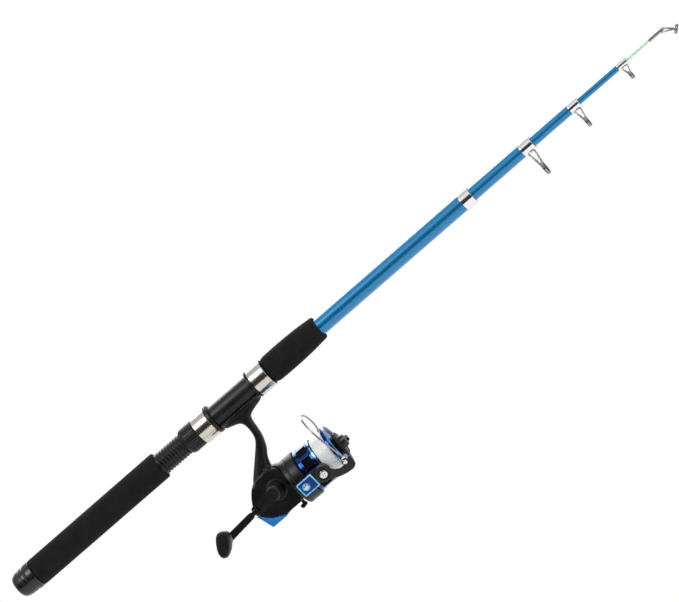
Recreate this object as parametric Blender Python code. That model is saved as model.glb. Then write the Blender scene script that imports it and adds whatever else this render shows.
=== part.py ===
"""A telescopic fishing rod with a small spinning reel, as separate parts at their rest places.

Units are metres. +X runs along the rod from the butt to the tip, -Z points to the reel, and the crank
is on the -Y side. The origin is the centre of the butt cap's flat end. The rod is partly pulled out.
"""

import math

import bmesh
import bpy
from mathutils import Vector

# Fits
GAP = 0.0003
SLIDE_GAP = 0.0002
FINE_GAP = 0.00015

# Turns that carry a piece's own X axis onto Y, -Y and -Z
ALONG_Y = (0, 0, math.pi / 2)
AGAINST_Y = (0, 0, -math.pi / 2)
AGAINST_Z = (0, math.pi / 2, 0)

# Numbers of sides of round pieces
SIDES = 20
SIDES_FINE = 28
SIDES_BLANK = 16

# Rod: places along X
BUTT_END = 0.020
GRIP_END = 0.159
NUT_START = 0.187
HOOD_START = 0.2015
LIP_START = 0.216
LIP_END = 0.219
RING_START = 0.261
FIXED_START = 0.263
FIXED_END = 0.278
FORE_END = 0.334

# Rod: radii
GRIP_R = 0.0122
BUTT_R = 0.0121
NUT_R = 0.0116
SLEEVE_R = 0.0124
LIP_R = 0.0130
SEAT_R = 0.0098
FORE_TIP_R = 0.0106
THREAD_PITCH = 0.003
THREAD_DEPTH = 0.0008
FOOT_IN = SEAT_R + GAP
FOOT_OUT = 0.0116
FOOT_ANGLE = math.radians(42)

# Blank sections: base, tip, outer radius, flare radius, bore radius, mouth radius, ferrule seat radius.
SECTIONS = (
    ("blank_section_1", 0.0203, 0.4995, 0.0074, 0.0074, 0.00655, 0.0060, 0.0070),
    ("blank_section_2", 0.0940, 0.5640, 0.0058, 0.00635, 0.0050, 0.00445, 0.0054),
    ("blank_section_3", 0.1485, 0.6135, 0.0043, 0.0048, 0.0036, 0.00285, 0.0039),
    ("blank_section_4", 0.2045, 0.6645, 0.00265, 0.0034, 0.0019, 0.00135, 0.0023),
)
FERRULES = ((0.4890, 0.0079), (0.5525, 0.0064), (0.6035, 0.0048), (0.6545, 0.0032))
FLARE_LENGTH = 0.020
MOUTH_LENGTH = 0.020
CONE_LENGTH = 0.004
TIP_BASE = 0.250
TIP_END = 0.7000
TIP_TUBE_START = 0.688

# Guides: place along X, depth of the ring's centre below the rod's axis, and the ring's outer radius.
GUIDES = ((0.5583, 0.0220, 0.0065), (0.6085, 0.0162, 0.0052), (0.6595, 0.0110, 0.0040))
GUIDE_WIRE_R = 0.00055
GUIDE_FOOT_SPREAD = 0.0030
TIP_RING_AT = (0.7105, 0.0, -0.0072)
TIP_RING_R = 0.0041
TIP_RING_TILT = math.radians(48)

# Reel: the main axis is parallel to X, and the rotor's arms stand a little turned from the Y axis.
REEL_Z = -0.083
ROTOR_TURN = math.radians(18.5)
SHAFT_R = 0.0010
SHAFT_BORE_R = SHAFT_R + FINE_GAP
PINION_COLLAR_R = 0.0024

# Reel gears. The drive gear's axis passes above the main shaft.
GEAR_X = 0.2210
GEAR_OFFSET = 0.0056
GEAR_Z = REEL_Z + GEAR_OFFSET
GEAR_TEETH = 30
PINION_TEETH = 6
PINION_PITCH_R = 0.0020
PINION_ROOT_R = 0.0015
PINION_TIP_R = 0.00255
MESH_X = PINION_PITCH_R * GEAR_TEETH / PINION_TEETH
MESH_HALF = 0.0014
GEAR_TOOTH_IN = math.hypot(MESH_X - MESH_HALF, GEAR_OFFSET)
GEAR_TOOTH_OUT = math.hypot(MESH_X + MESH_HALF, GEAR_OFFSET)
GEAR_TOOTH_TIP_Y = PINION_ROOT_R + 2 * GAP
GEAR_FACE_Y = PINION_TIP_R + GAP
GEAR_BACK_Y = 0.0060
AXLE_R = 0.0030
BUSH_R = 0.0049
BUSH_HOLE_R = 0.0052
SPUR_TEETH = 14
SPUR_PITCH_R = 0.0060
SPUR_DISTANCE = 0.0122
SPUR_Y = (-0.0062, -0.0042)
STROKE = 0.009

# Reel body
CASE_NEAR_Y = -0.0115
CASE_FAR_Y = 0.0080
COVER_Y = 0.0108
COVER_FRONT_X = 0.2325
CASE_WALL = 0.0022
NECK_R = 0.0165
NECK_END = 0.2408
RATCHET_X = (0.2375, 0.2397)
RATCHET_TEETH = 10
RATCHET_R = 0.0090
LEVER_AT = (0.0050, -0.0938)
LEVER_SHAFT_R = 0.0013

# Rotor and bail, from the reel's axis in the rotor's own turned frame
ROTOR_RIM_R = 0.0213
ARM_IN = 0.0201
ARM_OUT = 0.0240
ARM_HALF = 0.0064
PIVOT_X = 0.2618
BOSS_R = 0.0072
PIVOT_PIN_R = 0.0018
PIVOT_HOLE_R = 0.0021
BAIL_LEVER = (0.0264, 0.0286)
ROLLER_AT = (0.2815, -0.0044)

# Spool
SKIRT_R = 0.0197
SKIRT_START = 0.2485
SPOOL_FRONT = 0.282
FLANGE_R = 0.0203
LINE_R = 0.0186
ARBOR_R = 0.0120

# Crank, from the drive gear's axis in the crank's own tilted frame
CRANK_TILT = math.radians(-4.8)
FOLD_X = -0.0185
ARM_LENGTH = 0.0340
ARM_Y = (-0.0355, -0.0320)
FORK_Y = (-0.0371, -0.0309)
KNOB_Y = (-0.0650, -0.0362)
KNOB_TURN = math.radians(42)
FOLD_PIN_R = 0.0011
RIVET_R = 0.0012
RIVET_HOLE_R = 0.0014


def clear_scene():
    for obj in list(bpy.data.objects):
        bpy.data.objects.remove(obj)


def finish(name, colour, roughness, metallic=0.0):
    """A Principled material, made once for each name."""
    material = bpy.data.materials.get(name)
    if material is None:
        material = bpy.data.materials.new(name)
        material.use_nodes = True
        shader = material.node_tree.nodes["Principled BSDF"]
        shader.inputs["Base Color"].default_value = (*colour, 1.0)
        shader.inputs["Roughness"].default_value = roughness
        shader.inputs["Metallic"].default_value = metallic
    return material


def foam():
    return finish("foam", (0.012, 0.012, 0.013), 0.9)


def black_plastic():
    return finish("black_plastic", (0.018, 0.018, 0.02), 0.45)


def polished_steel():
    return finish("polished_steel", (0.75, 0.74, 0.72), 0.12, 1.0)


def blue_lacquer():
    return finish("blue_lacquer", (0.0, 0.09, 0.29), 0.25, 0.6)


def glow_tip():
    return finish("glow_tip", (0.62, 0.85, 0.62), 0.4)


def ceramic():
    return finish("ceramic", (0.02, 0.02, 0.022), 0.15)


def blue_plating():
    return finish("blue_plating", (0.01, 0.08, 0.45), 0.12, 1.0)


def nylon():
    return finish("nylon", (0.85, 0.88, 0.9), 0.35)


def brass():
    return finish("brass", (0.72, 0.52, 0.22), 0.3, 1.0)


def steel():
    return finish("steel", (0.55, 0.55, 0.56), 0.35, 1.0)


def zinc():
    return finish("zinc", (0.42, 0.42, 0.44), 0.5, 1.0)


def add(name, mesh, material, parent=None, location=(0, 0, 0), rotation=(0, 0, 0)):
    """A named object for a mesh, with its material and its place under its parent."""
    mesh.materials.append(material)
    mesh.shade_smooth()
    mesh.set_sharp_from_angle(angle=math.radians(35))
    obj = bpy.data.objects.new(name, mesh)
    bpy.context.scene.collection.objects.link(obj)
    obj.parent = parent
    obj.location = location
    obj.rotation_euler = rotation
    return obj


def axis_empty(name, location, rotation=(0, 0, 0)):
    """An empty that stands on a joint's axis and carries the pieces that turn about it."""
    empty = bpy.data.objects.new(name, None)
    empty.empty_display_size = 0.01
    bpy.context.scene.collection.objects.link(empty)
    empty.location = location
    empty.rotation_euler = rotation
    return empty


def as_tool(obj):
    """Keeps an object out of the render, because it only shapes another one."""
    obj.hide_render = True
    obj.display_type = "WIRE"
    return obj


def boolean(obj, tool, operation):
    modifier = obj.modifiers.new(f"{operation.lower()}_{tool.name}", "BOOLEAN")
    modifier.operation = operation
    modifier.solver = "EXACT"
    modifier.object = as_tool(tool)


def cut(obj, *tools):
    for tool in tools:
        boolean(obj, tool, "DIFFERENCE")


def join(obj, *tools):
    for tool in tools:
        boolean(obj, tool, "UNION")


def drill(name, radius, start, end, parent=None, location=(0, 0, 0), rotation=(0, 0, 0)):
    """A plain round bar along its own X axis, to cut a hole or to join as a pin."""
    bar = turned(name, [(start, 0), (start, radius), (end, radius), (end, 0)], SIDES_BLANK)
    return add(name, bar, black_plastic(), parent, location, rotation)


def mesh_of(name, bm):
    bmesh.ops.recalc_face_normals(bm, faces=bm.faces)
    mesh = bpy.data.meshes.new(name)
    bm.to_mesh(mesh)
    bm.free()
    return mesh


def turned(name, profile, sides=SIDES):
    """A profile of (along, radius) points turned about the local X axis.

    A profile whose ends are on the axis makes a solid, and any other one is closed into a ring.
    """
    bm = bmesh.new()
    verts = [bm.verts.new((along, 0.0, radius)) for along, radius in profile]
    edges = [bm.edges.new(pair) for pair in zip(verts, verts[1:])]
    if profile[0][1] > 0:
        edges.append(bm.edges.new((verts[-1], verts[0])))
    bmesh.ops.spin(
        bm,
        geom=verts + edges,
        cent=(0, 0, 0),
        axis=(1, 0, 0),
        angle=math.tau,
        steps=sides,
        use_merge=True,
    )
    bmesh.ops.remove_doubles(bm, verts=bm.verts, dist=1e-6)
    return mesh_of(name, bm)


def plate(name, loops, low, high, along="Y"):
    """Outlines, the outer one first and then its holes, extruded from low to high along X, Y or Z."""
    place = {
        "X": lambda u, v, w: (w, u, v),
        "Y": lambda u, v, w: (u, w, v),
        "Z": lambda u, v, w: (u, v, w),
    }[along]
    bm = bmesh.new()
    caps = ([], [])
    for loop in loops:
        rows = [[bm.verts.new(place(u, v, level)) for u, v in loop] for level in (low, high)]
        for index, vert in enumerate(rows[0]):
            nxt = (index + 1) % len(loop)
            bm.faces.new((vert, rows[0][nxt], rows[1][nxt], rows[1][index]))
        for row, cap in zip(rows, caps):
            cap.extend(bm.edges.get(pair) for pair in zip(row, row[1:] + row[:1]))
    for cap in caps:
        bmesh.ops.triangle_fill(bm, edges=cap, use_beauty=True)
    return mesh_of(name, bm)


def loft(name, rings):
    """A closed skin over rings with the same number of points."""
    bm = bmesh.new()
    rows = [[bm.verts.new(point) for point in ring] for ring in rings]
    count = len(rows[0])
    for low, high in zip(rows, rows[1:]):
        for index in range(count):
            nxt = (index + 1) % count
            bm.faces.new((low[index], low[nxt], high[nxt], high[index]))
    bm.faces.new(rows[0])
    bm.faces.new(rows[-1])
    return mesh_of(name, bm)


def wire(name, route, radius, sides=6):
    """A round wire along a route of points, with flat ends. radius is a number or one for each point."""
    points = [Vector(point) for point in route]
    radii = [radius] * len(points) if isinstance(radius, float) else radius
    rings = []
    normal = None
    for index, point in enumerate(points):
        before = points[max(index - 1, 0)]
        after = points[min(index + 1, len(points) - 1)]
        direction = (after - before).normalized()
        if normal is None:
            normal = direction.orthogonal()
        normal = (normal - direction * normal.dot(direction)).normalized()
        side = direction.cross(normal)
        angles = [math.tau * step / sides for step in range(sides)]
        ring = [
            point + radii[index] * (normal * math.cos(angle) + side * math.sin(angle))
            for angle in angles
        ]
        rings.append(ring)
    return loft(name, rings)


def smooth_route(points, steps):
    """Points along a Catmull-Rom curve through the given ones."""
    points = [Vector(point) for point in points]
    padded = [2 * points[0] - points[1], *points, 2 * points[-1] - points[-2]]
    route = []
    for a, b, c, d in zip(padded, padded[1:], padded[2:], padded[3:]):
        for step in range(steps):
            t = step / steps
            route.append(
                0.5
                * (
                    2 * b
                    + (c - a) * t
                    + (2 * a - 5 * b + 4 * c - d) * t**2
                    + (3 * b - a - 3 * c + d) * t**3
                )
            )
    route.append(points[-1])
    return route


def circle(radius, centre=(0, 0), sides=SIDES, phase=0.0):
    angles = [phase + math.tau * index / sides for index in range(sides)]
    return [(centre[0] + radius * math.cos(a), centre[1] + radius * math.sin(a)) for a in angles]


def sector(inner, outer, half_angle, steps=10):
    """The outline, in the YZ plane, of a curved strip centred on -Z."""
    angles = [-math.pi / 2 + half_angle * (2 * step / steps - 1) for step in range(steps + 1)]
    out = [(outer * math.cos(a), outer * math.sin(a)) for a in angles]
    back = [(inner * math.cos(a), inner * math.sin(a)) for a in reversed(angles)]
    return out + back


def gear_outline(teeth, root, tip, root_width, tip_width, phase=0.0):
    """An outline with straight-sided teeth. The widths are fractions of a tooth's pitch."""
    pitch = math.tau / teeth
    points = []
    for tooth in range(teeth):
        middle = phase + tooth * pitch
        for radius, offset in (
            (root, -root_width / 2),
            (tip, -tip_width / 2),
            (tip, tip_width / 2),
            (root, root_width / 2),
        ):
            angle = middle + offset * pitch
            points.append((radius * math.cos(angle), radius * math.sin(angle)))
    return points


def box(name, low, high):
    outline = [(low[0], low[1]), (high[0], low[1]), (high[0], high[1]), (low[0], high[1])]
    return plate(name, [outline], low[2], high[2], along="Z")


# Rod


def butt_cap():
    bore = SECTIONS[0][5] - GAP
    profile = [(0, 0), (0, 0.0080), (0.0015, 0.0096), (0.0045, 0.0108), (0.0090, 0.0116)]
    profile += [(0.0140, 0.0117), (0.0146, BUTT_R), (BUTT_END, BUTT_R)]
    profile += [(BUTT_END, bore), (BUTT_END + 0.012, bore), (BUTT_END + 0.013, bore - 0.001)]
    profile += [(BUTT_END + 0.013, 0)]
    add("butt_cap", turned("butt_cap", profile), black_plastic())


def grips():
    bore = SECTIONS[0][3] + GAP
    start = BUTT_END + GAP
    edge = 0.0012
    rear = [(start, bore), (start, GRIP_R - edge), (start + edge, GRIP_R)]
    rear += [(GRIP_END - edge, GRIP_R), (GRIP_END, GRIP_R - edge), (GRIP_END, bore)]
    add("rear_grip", turned("rear_grip", rear), foam())
    start = FIXED_END + GAP
    fore = [(start, bore), (start, 0.0110), (start + 0.0035, GRIP_R), (0.305, 0.0124)]
    fore += [(0.318, 0.0119), (FORE_END - 0.001, FORE_TIP_R), (FORE_END, 0.0098), (FORE_END, bore)]
    add("fore_grip", turned("fore_grip", fore), foam())


def reel_seat():
    """The threaded tube, with the fixed hood's core and ring in one piece with it."""
    bore = SECTIONS[0][3] + GAP
    start = GRIP_END + GAP
    profile = [(start, bore)]
    ridge = start
    while ridge < HOOD_START:
        profile.append((ridge, SEAT_R - THREAD_DEPTH))
        profile.append((ridge + THREAD_PITCH * 0.3, SEAT_R))
        profile.append((ridge + THREAD_PITCH * 0.7, SEAT_R))
        ridge += THREAD_PITCH
    profile += [(ridge, SEAT_R), (RING_START, SEAT_R), (RING_START, LIP_R - 0.0004)]
    profile += [(FIXED_START - GAP, LIP_R - 0.0004), (FIXED_START - GAP, SLEEVE_R - 0.0008)]
    profile += [(FIXED_END, SLEEVE_R - 0.0008), (FIXED_END, bore)]
    seat = add("reel_seat", turned("reel_seat", profile, SIDES_BLANK), black_plastic())
    pocket = plate(
        "fixed_pocket",
        [sector(SEAT_R - 0.00002, FOOT_OUT + GAP, FOOT_ANGLE + 0.05)],
        RING_START - 0.001,
        FIXED_END - 0.005,
        along="X",
    )
    cut(seat, add("fixed_pocket", pocket, black_plastic()))
    sleeve(FIXED_START, FIXED_END - 0.0006, "fixed_hood_sleeve")


def sleeve(start, end, name):
    inner = SLEEVE_R - 0.0005
    profile = [(start, inner), (start, SLEEVE_R - 0.0002), (start + 0.0004, SLEEVE_R)]
    profile += [(end - 0.0004, SLEEVE_R), (end, SLEEVE_R - 0.0002), (end, inner)]
    return add(name, turned(name, profile), polished_steel())


def sliding_hood():
    bore = SEAT_R + SLIDE_GAP
    core_r = SLEEVE_R - 0.0008
    profile = [(HOOD_START, bore), (HOOD_START, core_r), (LIP_START, core_r), (LIP_START, LIP_R)]
    profile += [(LIP_END, LIP_R), (LIP_END, bore)]
    core = add("sliding_hood_core", turned("sliding_hood_core", profile), black_plastic())
    pocket = plate(
        "sliding_pocket",
        [sector(bore - 0.0005, FOOT_OUT + GAP, FOOT_ANGLE + 0.05)],
        HOOD_START + 0.0045,
        LIP_END + 0.001,
        along="X",
    )
    cut(core, add("sliding_pocket", pocket, black_plastic()))
    sleeve(HOOD_START + 0.0003, LIP_START - GAP, "sliding_hood_sleeve")


def locking_nut():
    bore = SEAT_R + SLIDE_GAP
    end = HOOD_START - GAP
    outline = gear_outline(18, NUT_R - 0.0004, NUT_R, 0.7, 0.4)
    nut = plate("locking_nut", [outline, circle(bore)], NUT_START, end, along="X")
    add("locking_nut", nut, black_plastic())


def blanks():
    for name, base, tip, outer, flare, bore, mouth, seat in SECTIONS:
        ferrule_start = FERRULES[[row[0] for row in SECTIONS].index(name)][0]
        profile = [(base, bore), (base, flare)]
        if flare > outer:
            profile.append((base + FLARE_LENGTH, flare))
        profile += [(base + FLARE_LENGTH + CONE_LENGTH, outer), (ferrule_start, outer)]
        profile += [(ferrule_start, seat), (tip, seat), (tip, mouth)]
        profile += [(tip - MOUTH_LENGTH, mouth), (tip - MOUTH_LENGTH - CONE_LENGTH, bore)]
        add(name, turned(name, profile, SIDES_BLANK), blue_lacquer())
    flare = [(TIP_BASE, 0), (TIP_BASE, 0.00165), (TIP_BASE + FLARE_LENGTH, 0.00165)]
    shaft = [(TIP_BASE + FLARE_LENGTH + CONE_LENGTH, 0.0011), (TIP_TUBE_START - GAP, 0.0011)]
    shaft += [(TIP_TUBE_START - GAP, 0.0008), (TIP_END, 0.0008), (TIP_END, 0)]
    add("tip_section", turned("tip_section", flare + shaft, 12), glow_tip())


def band(name, index):
    """A steel ferrule on a section's end. Its front face is flush with the section's mouth."""
    start, outer = FERRULES[index]
    end = SECTIONS[index][2]
    inner = SECTIONS[index][7] + SLIDE_GAP
    profile = [(start + SLIDE_GAP, inner), (start + SLIDE_GAP, outer), (end, outer), (end, inner)]
    return turned(name, profile, SIDES_BLANK)


def ring_profile(outer, inner, half):
    """A ring with a rounded inside, as a profile to turn."""
    middle = (outer + inner) / 2
    front = [(half, outer), (half, middle), (half / 2, inner)]
    return [(-half, outer), *front, (-half / 2, inner), (-half, middle)]


def guides():
    add("ferrule_1", band("ferrule_1", 0), polished_steel())
    for index, (x, depth, ring_r) in enumerate(GUIDES, 1):
        frame = add(f"guide_{index}_frame", band(f"guide_{index}_band", index), polished_steel())
        inner = ring_r - 0.0009
        holder = [(-0.0008, inner), (-0.0008, ring_r), (0.0008, ring_r), (0.0008, inner)]
        holder = turned("holder", holder, SIDES_BLANK)
        place = (x, 0, -depth)
        join(frame, add(f"guide_{index}_holder", holder, polished_steel(), location=place))
        foot_z = -(FERRULES[index][1] - 0.0004)
        spread = GUIDE_FOOT_SPREAD * (0.8 + 0.2 * ring_r / GUIDES[0][2])
        for side in (-1, 1):
            meet = Vector((x, side * (ring_r - 0.0003), -depth))
            shoulder = Vector((x, side * (ring_r - 0.0009), -depth + ring_r * 0.6))
            for end, word in ((-1, "rear"), (1, "front")):
                foot = Vector((x + end * spread, side * 0.0012, foot_z))
                shift = Vector((end * 0.0004, 0, 0))
                name = f"guide_{index}_{word}_leg_{side}"
                leg = wire(name, [foot, shoulder + shift * 2, meet + shift], GUIDE_WIRE_R)
                join(frame, add(name, leg, polished_steel()))
        insert = ring_profile(inner - 0.0001, ring_r - 0.0021, 0.0011)
        add(f"guide_{index}_ring", turned("insert", insert, SIDES_BLANK), ceramic(), location=place)


def tip_top():
    tube = [(TIP_TUBE_START, 0.0010), (TIP_TUBE_START, 0.0015), (0.7035, 0.0015), (0.7035, 0.0010)]
    frame = add("tip_top_frame", turned("tip_tube", tube, 12), polished_steel())
    inner = TIP_RING_R - 0.0008
    holder = [(-0.0007, inner), (-0.0007, TIP_RING_R), (0.0007, TIP_RING_R), (0.0007, inner)]
    holder = turned("tip_holder", holder, SIDES_BLANK)
    tilt = (0, TIP_RING_TILT, 0)
    join(frame, add("tip_holder", holder, polished_steel(), None, TIP_RING_AT, tilt))
    for side in (-1, 1):
        meet = Vector(TIP_RING_AT) + Vector((0, side * (TIP_RING_R - 0.0003), 0))
        for start in ((0.6985, side * 0.0006, -0.0012), (0.7020, side * 0.0010, 0.0008)):
            bend = Vector(start).lerp(meet, 0.55) + Vector((0, side * 0.0006, 0))
            name = f"tip_leg_{side}_{start[0]}"
            join(frame, add(name, wire(name, [start, bend, meet], 0.0005), polished_steel()))
    insert = ring_profile(inner - 0.0001, inner - 0.0014, 0.0010)
    add("tip_top_ring", turned("tip_insert", insert, SIDES_BLANK), ceramic(), None, TIP_RING_AT, tilt)


# Reel body


def stem_rings():
    """Rounded sections of the stem, one at each height: z, rear x, front x, half width."""
    rows = (
        (-0.0108, 0.2196, 0.2604, 0.0046),
        (-0.0132, 0.2212, 0.2575, 0.0045),
        (-0.0165, 0.2305, 0.2455, 0.0044),
        (-0.0205, 0.2340, 0.2420, 0.0044),
        (-0.0290, 0.2344, 0.2408, 0.0045),
        (-0.0362, 0.2320, 0.2396, 0.0047),
        (-0.0450, 0.2236, 0.2362, 0.0050),
        (-0.0524, 0.2160, 0.2313, 0.0055),
        (-0.0600, 0.2085, 0.2290, 0.0062),
        (-0.0670, 0.2035, 0.2310, 0.0072),
    )
    rings = []
    for z, rear, front, half in rows:
        middle, reach = (rear + front) / 2, (front - rear) / 2
        ring = []
        for step in range(16):
            angle = math.tau * step / 16
            c, s = math.cos(angle), math.sin(angle)
            x = middle + reach * math.copysign(abs(c) ** 0.7, c)
            y = half * math.copysign(abs(s) ** 0.7, s)
            ring.append((x, y, z))
        rings.append(ring)
    return rings


CASE = [(0.2334, -0.0660), (0.2334, -0.0978), (0.2150, -0.0978), (0.2030, -0.0925), (0.1938, -0.0828)]
CASE += [(0.1966, -0.0745), (0.2010, -0.0680), (0.2080, -0.0612), (0.2290, -0.0600)]
CAVITY = [(0.2325, -0.0670), (0.2325, -0.0956), (0.2155, -0.0956), (0.2045, -0.0908), (0.1966, -0.0825)]
CAVITY += [(0.1988, -0.0755), (0.2026, -0.0697), (0.2090, -0.0636), (0.2278, -0.0624)]
TAIL = [(0.1936, -0.0834), (0.2027, -0.0929), (0.2148, -0.0982), (0.2135, -0.0990), (0.1985, -0.0990)]


def rounded_plate(name, outline, low, high, radius, rounded_side):
    """A plate whose edges on one side are rounded."""
    mesh = plate(name, [outline], low, high)
    bm = bmesh.new()
    bm.from_mesh(mesh)
    edges = [
        edge
        for edge in bm.edges
        if all(abs(vert.co.y - rounded_side) < 1e-6 for vert in edge.verts)
        and edge.calc_face_angle(0) > 0.5
    ]
    bmesh.ops.bevel(bm, geom=edges, offset=radius, segments=2, affect="EDGES", profile=0.5)
    return mesh_of(name, bm)


def reel_body():
    case = rounded_plate("case", CASE, CASE_NEAR_Y, CASE_FAR_Y, 0.0025, CASE_NEAR_Y)
    body = add("reel_body", case, black_plastic())
    foot = plate("foot", [sector(FOOT_IN, FOOT_OUT, FOOT_ANGLE)], HOOD_START + 0.005, FIXED_END - 0.0055, "X")
    neck = [(0.2328, 0), (0.2328, NECK_R), (NECK_END - 0.0004, NECK_R)]
    neck += [(NECK_END, NECK_R - 0.0004), (NECK_END, 0)]
    cavity = plate("cavity", [CAVITY], CASE_NEAR_Y + CASE_WALL, CASE_FAR_Y + 0.001)
    pocket = [(0.2315, 0), (0.2315, 0.0128), (0.2339, 0.0128), (0.2339, 0.0030), (0.2346, 0.0030)]
    pocket += [(0.2346, 0.0053), (0.2372, 0.0053), (0.2372, 0.0143), (NECK_END + 0.001, 0.0143)]
    pocket += [(NECK_END + 0.001, 0)]
    at_axis = (0, 0, REEL_Z)
    join(
        body,
        add("stem", loft("stem", stem_rings()), black_plastic()),
        add("foot", foot, black_plastic()),
        add("neck", turned("neck", neck, SIDES_FINE), black_plastic(), location=at_axis),
    )
    lever_y = LEVER_AT[0]
    slot = box("lever_slot", (0.2262, lever_y - 0.0018, -0.1000), (0.2300, lever_y + 0.0036, -0.0950))
    cut(
        body,
        add("cavity", cavity, black_plastic()),
        add("neck_pocket", turned("neck_pocket", pocket), black_plastic(), location=at_axis),
        drill("bush_hole", BUSH_HOLE_R, -0.0130, -0.0080, None, (GEAR_X, 0, GEAR_Z), ALONG_Y),
        drill("lever_hole", LEVER_SHAFT_R + GAP, 0.2310, 0.2380, None, (0, *LEVER_AT)),
        add("lever_slot", slot, black_plastic()),
    )
    where = (GEAR_X - SPUR_DISTANCE, 0, GEAR_Z)
    join(body, drill("gear_post", 0.0014, -0.0100, -0.0040, None, where, ALONG_Y))


def covers():
    outline = [(min(x, COVER_FRONT_X), z) for x, z in CASE]
    cover = rounded_plate("side_cover", outline, CASE_FAR_Y + GAP, COVER_Y, 0.0018, COVER_Y)
    cover = add("side_cover", cover, black_plastic())
    cut(cover, drill("cover_hole", BUSH_HOLE_R, 0.0070, 0.0120, None, (GEAR_X, 0, GEAR_Z), ALONG_Y))
    for index, (x, z) in enumerate(((0.2060, -0.0665), (0.2290, -0.0940)), 1):
        head = [(0, 0), (0, 0.0018), (0.0006, 0.0018), (0.0010, 0.0010), (0.0010, 0)]
        where = (x, COVER_Y + GAP, z)
        add(f"cover_screw_{index}", turned("cover_screw", head, 12), steel(), None, where, ALONG_Y)
    near = CASE_NEAR_Y + GAP
    tail = rounded_plate("tail_cover", TAIL, near, COVER_Y - GAP, 0.0015, near)
    add("tail_cover", tail, blue_plating())


# Gear train


def face_gear_mesh():
    """A disc with raised teeth. Each tooth runs along a line that misses the axis by GEAR_OFFSET."""
    columns = GEAR_TEETH * 2
    pitch = math.tau / GEAR_TEETH
    share = 0.28
    tip_share = 0.85

    def row(radius, y, lean):
        """One ring of points. A tooth's line meets this radius at an angle that depends on the radius."""
        lean_angle = math.asin(GEAR_OFFSET / lean)
        points = []
        for tooth in range(GEAR_TEETH):
            for side in (-1, 1):
                angle = tooth * pitch + side * share * pitch / 2 - lean_angle
                points.append((radius * math.cos(angle), y, radius * math.sin(angle)))
        return points

    bore = AXLE_R + SLIDE_GAP
    rows = [
        row(bore, GEAR_FACE_Y, GEAR_TOOTH_IN),
        row(GEAR_TOOTH_IN, GEAR_FACE_Y, GEAR_TOOTH_IN),
        row(GEAR_TOOTH_OUT, GEAR_FACE_Y, GEAR_TOOTH_OUT),
        row(GEAR_TOOTH_OUT, GEAR_BACK_Y, GEAR_TOOTH_OUT),
        row(bore, GEAR_BACK_Y, GEAR_TOOTH_IN),
    ]
    bm = bmesh.new()
    grid = [[bm.verts.new(point) for point in points] for points in rows]
    teeth = []
    for index, ring in enumerate(grid):
        outer = grid[(index + 1) % len(grid)]
        for column in range(columns):
            nxt = (column + 1) % columns
            face = bm.faces.new((ring[column], ring[nxt], outer[nxt], outer[column]))
            if index == 1 and column % 2 == 0:
                teeth.append(face)
    raised = bmesh.ops.extrude_discrete_faces(bm, faces=teeth)["faces"]
    rise = Vector((0, GEAR_TOOTH_TIP_Y - GEAR_FACE_Y, 0))
    for face in raised:
        middle = face.calc_center_median()
        for vert in face.verts:
            vert.co = middle + (vert.co - middle) * tip_share + rise
    return mesh_of("drive_gear", bm)


def gear_train(crank_axis):
    add("drive_gear", face_gear_mesh(), zinc(), crank_axis)
    root, tip = SPUR_PITCH_R - 0.0008, SPUR_PITCH_R + 0.0006
    spur = gear_outline(SPUR_TEETH, root, tip, 0.62, 0.26)
    axle = turned("drive_axle", [(-0.0118, 0), (-0.0118, AXLE_R), (0.0104, AXLE_R), (0.0104, 0)], 16)
    axle = add("drive_axle", axle, steel(), crank_axis, rotation=ALONG_Y)
    axle_spur = add("axle_spur", plate("axle_spur", [spur], *SPUR_Y), steel(), crank_axis)
    join(axle, axle_spur)
    other = gear_outline(SPUR_TEETH, root, tip, 0.62, 0.26, math.pi / SPUR_TEETH)
    at = axis_empty("oscillation_axis", (GEAR_X - SPUR_DISTANCE, 0, GEAR_Z))
    wheel = plate("oscillation_gear", [other, circle(0.0017, sides=12)], *SPUR_Y)
    wheel = add("oscillation_gear", wheel, zinc(), at)
    peg = [(SPUR_Y[1] - 0.0005, 0), (SPUR_Y[1] - 0.0005, 0.0008), (-0.0030, 0.0008), (-0.0030, 0)]
    peg = add("peg", turned("peg", peg, 10), zinc(), at, (-STROKE / 2, 0, 0), ALONG_Y)
    join(wheel, peg)
    inner = AXLE_R + SLIDE_GAP
    bush = [(0, inner), (0, BUSH_R), (0.0022, BUSH_R), (0.0022, inner)]
    for name, y in (("axle_bush_near", -0.0115), ("axle_bush_far", 0.0083)):
        add(name, turned(name, bush, SIDES), brass(), None, (GEAR_X, y, GEAR_Z), ALONG_Y)


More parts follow.
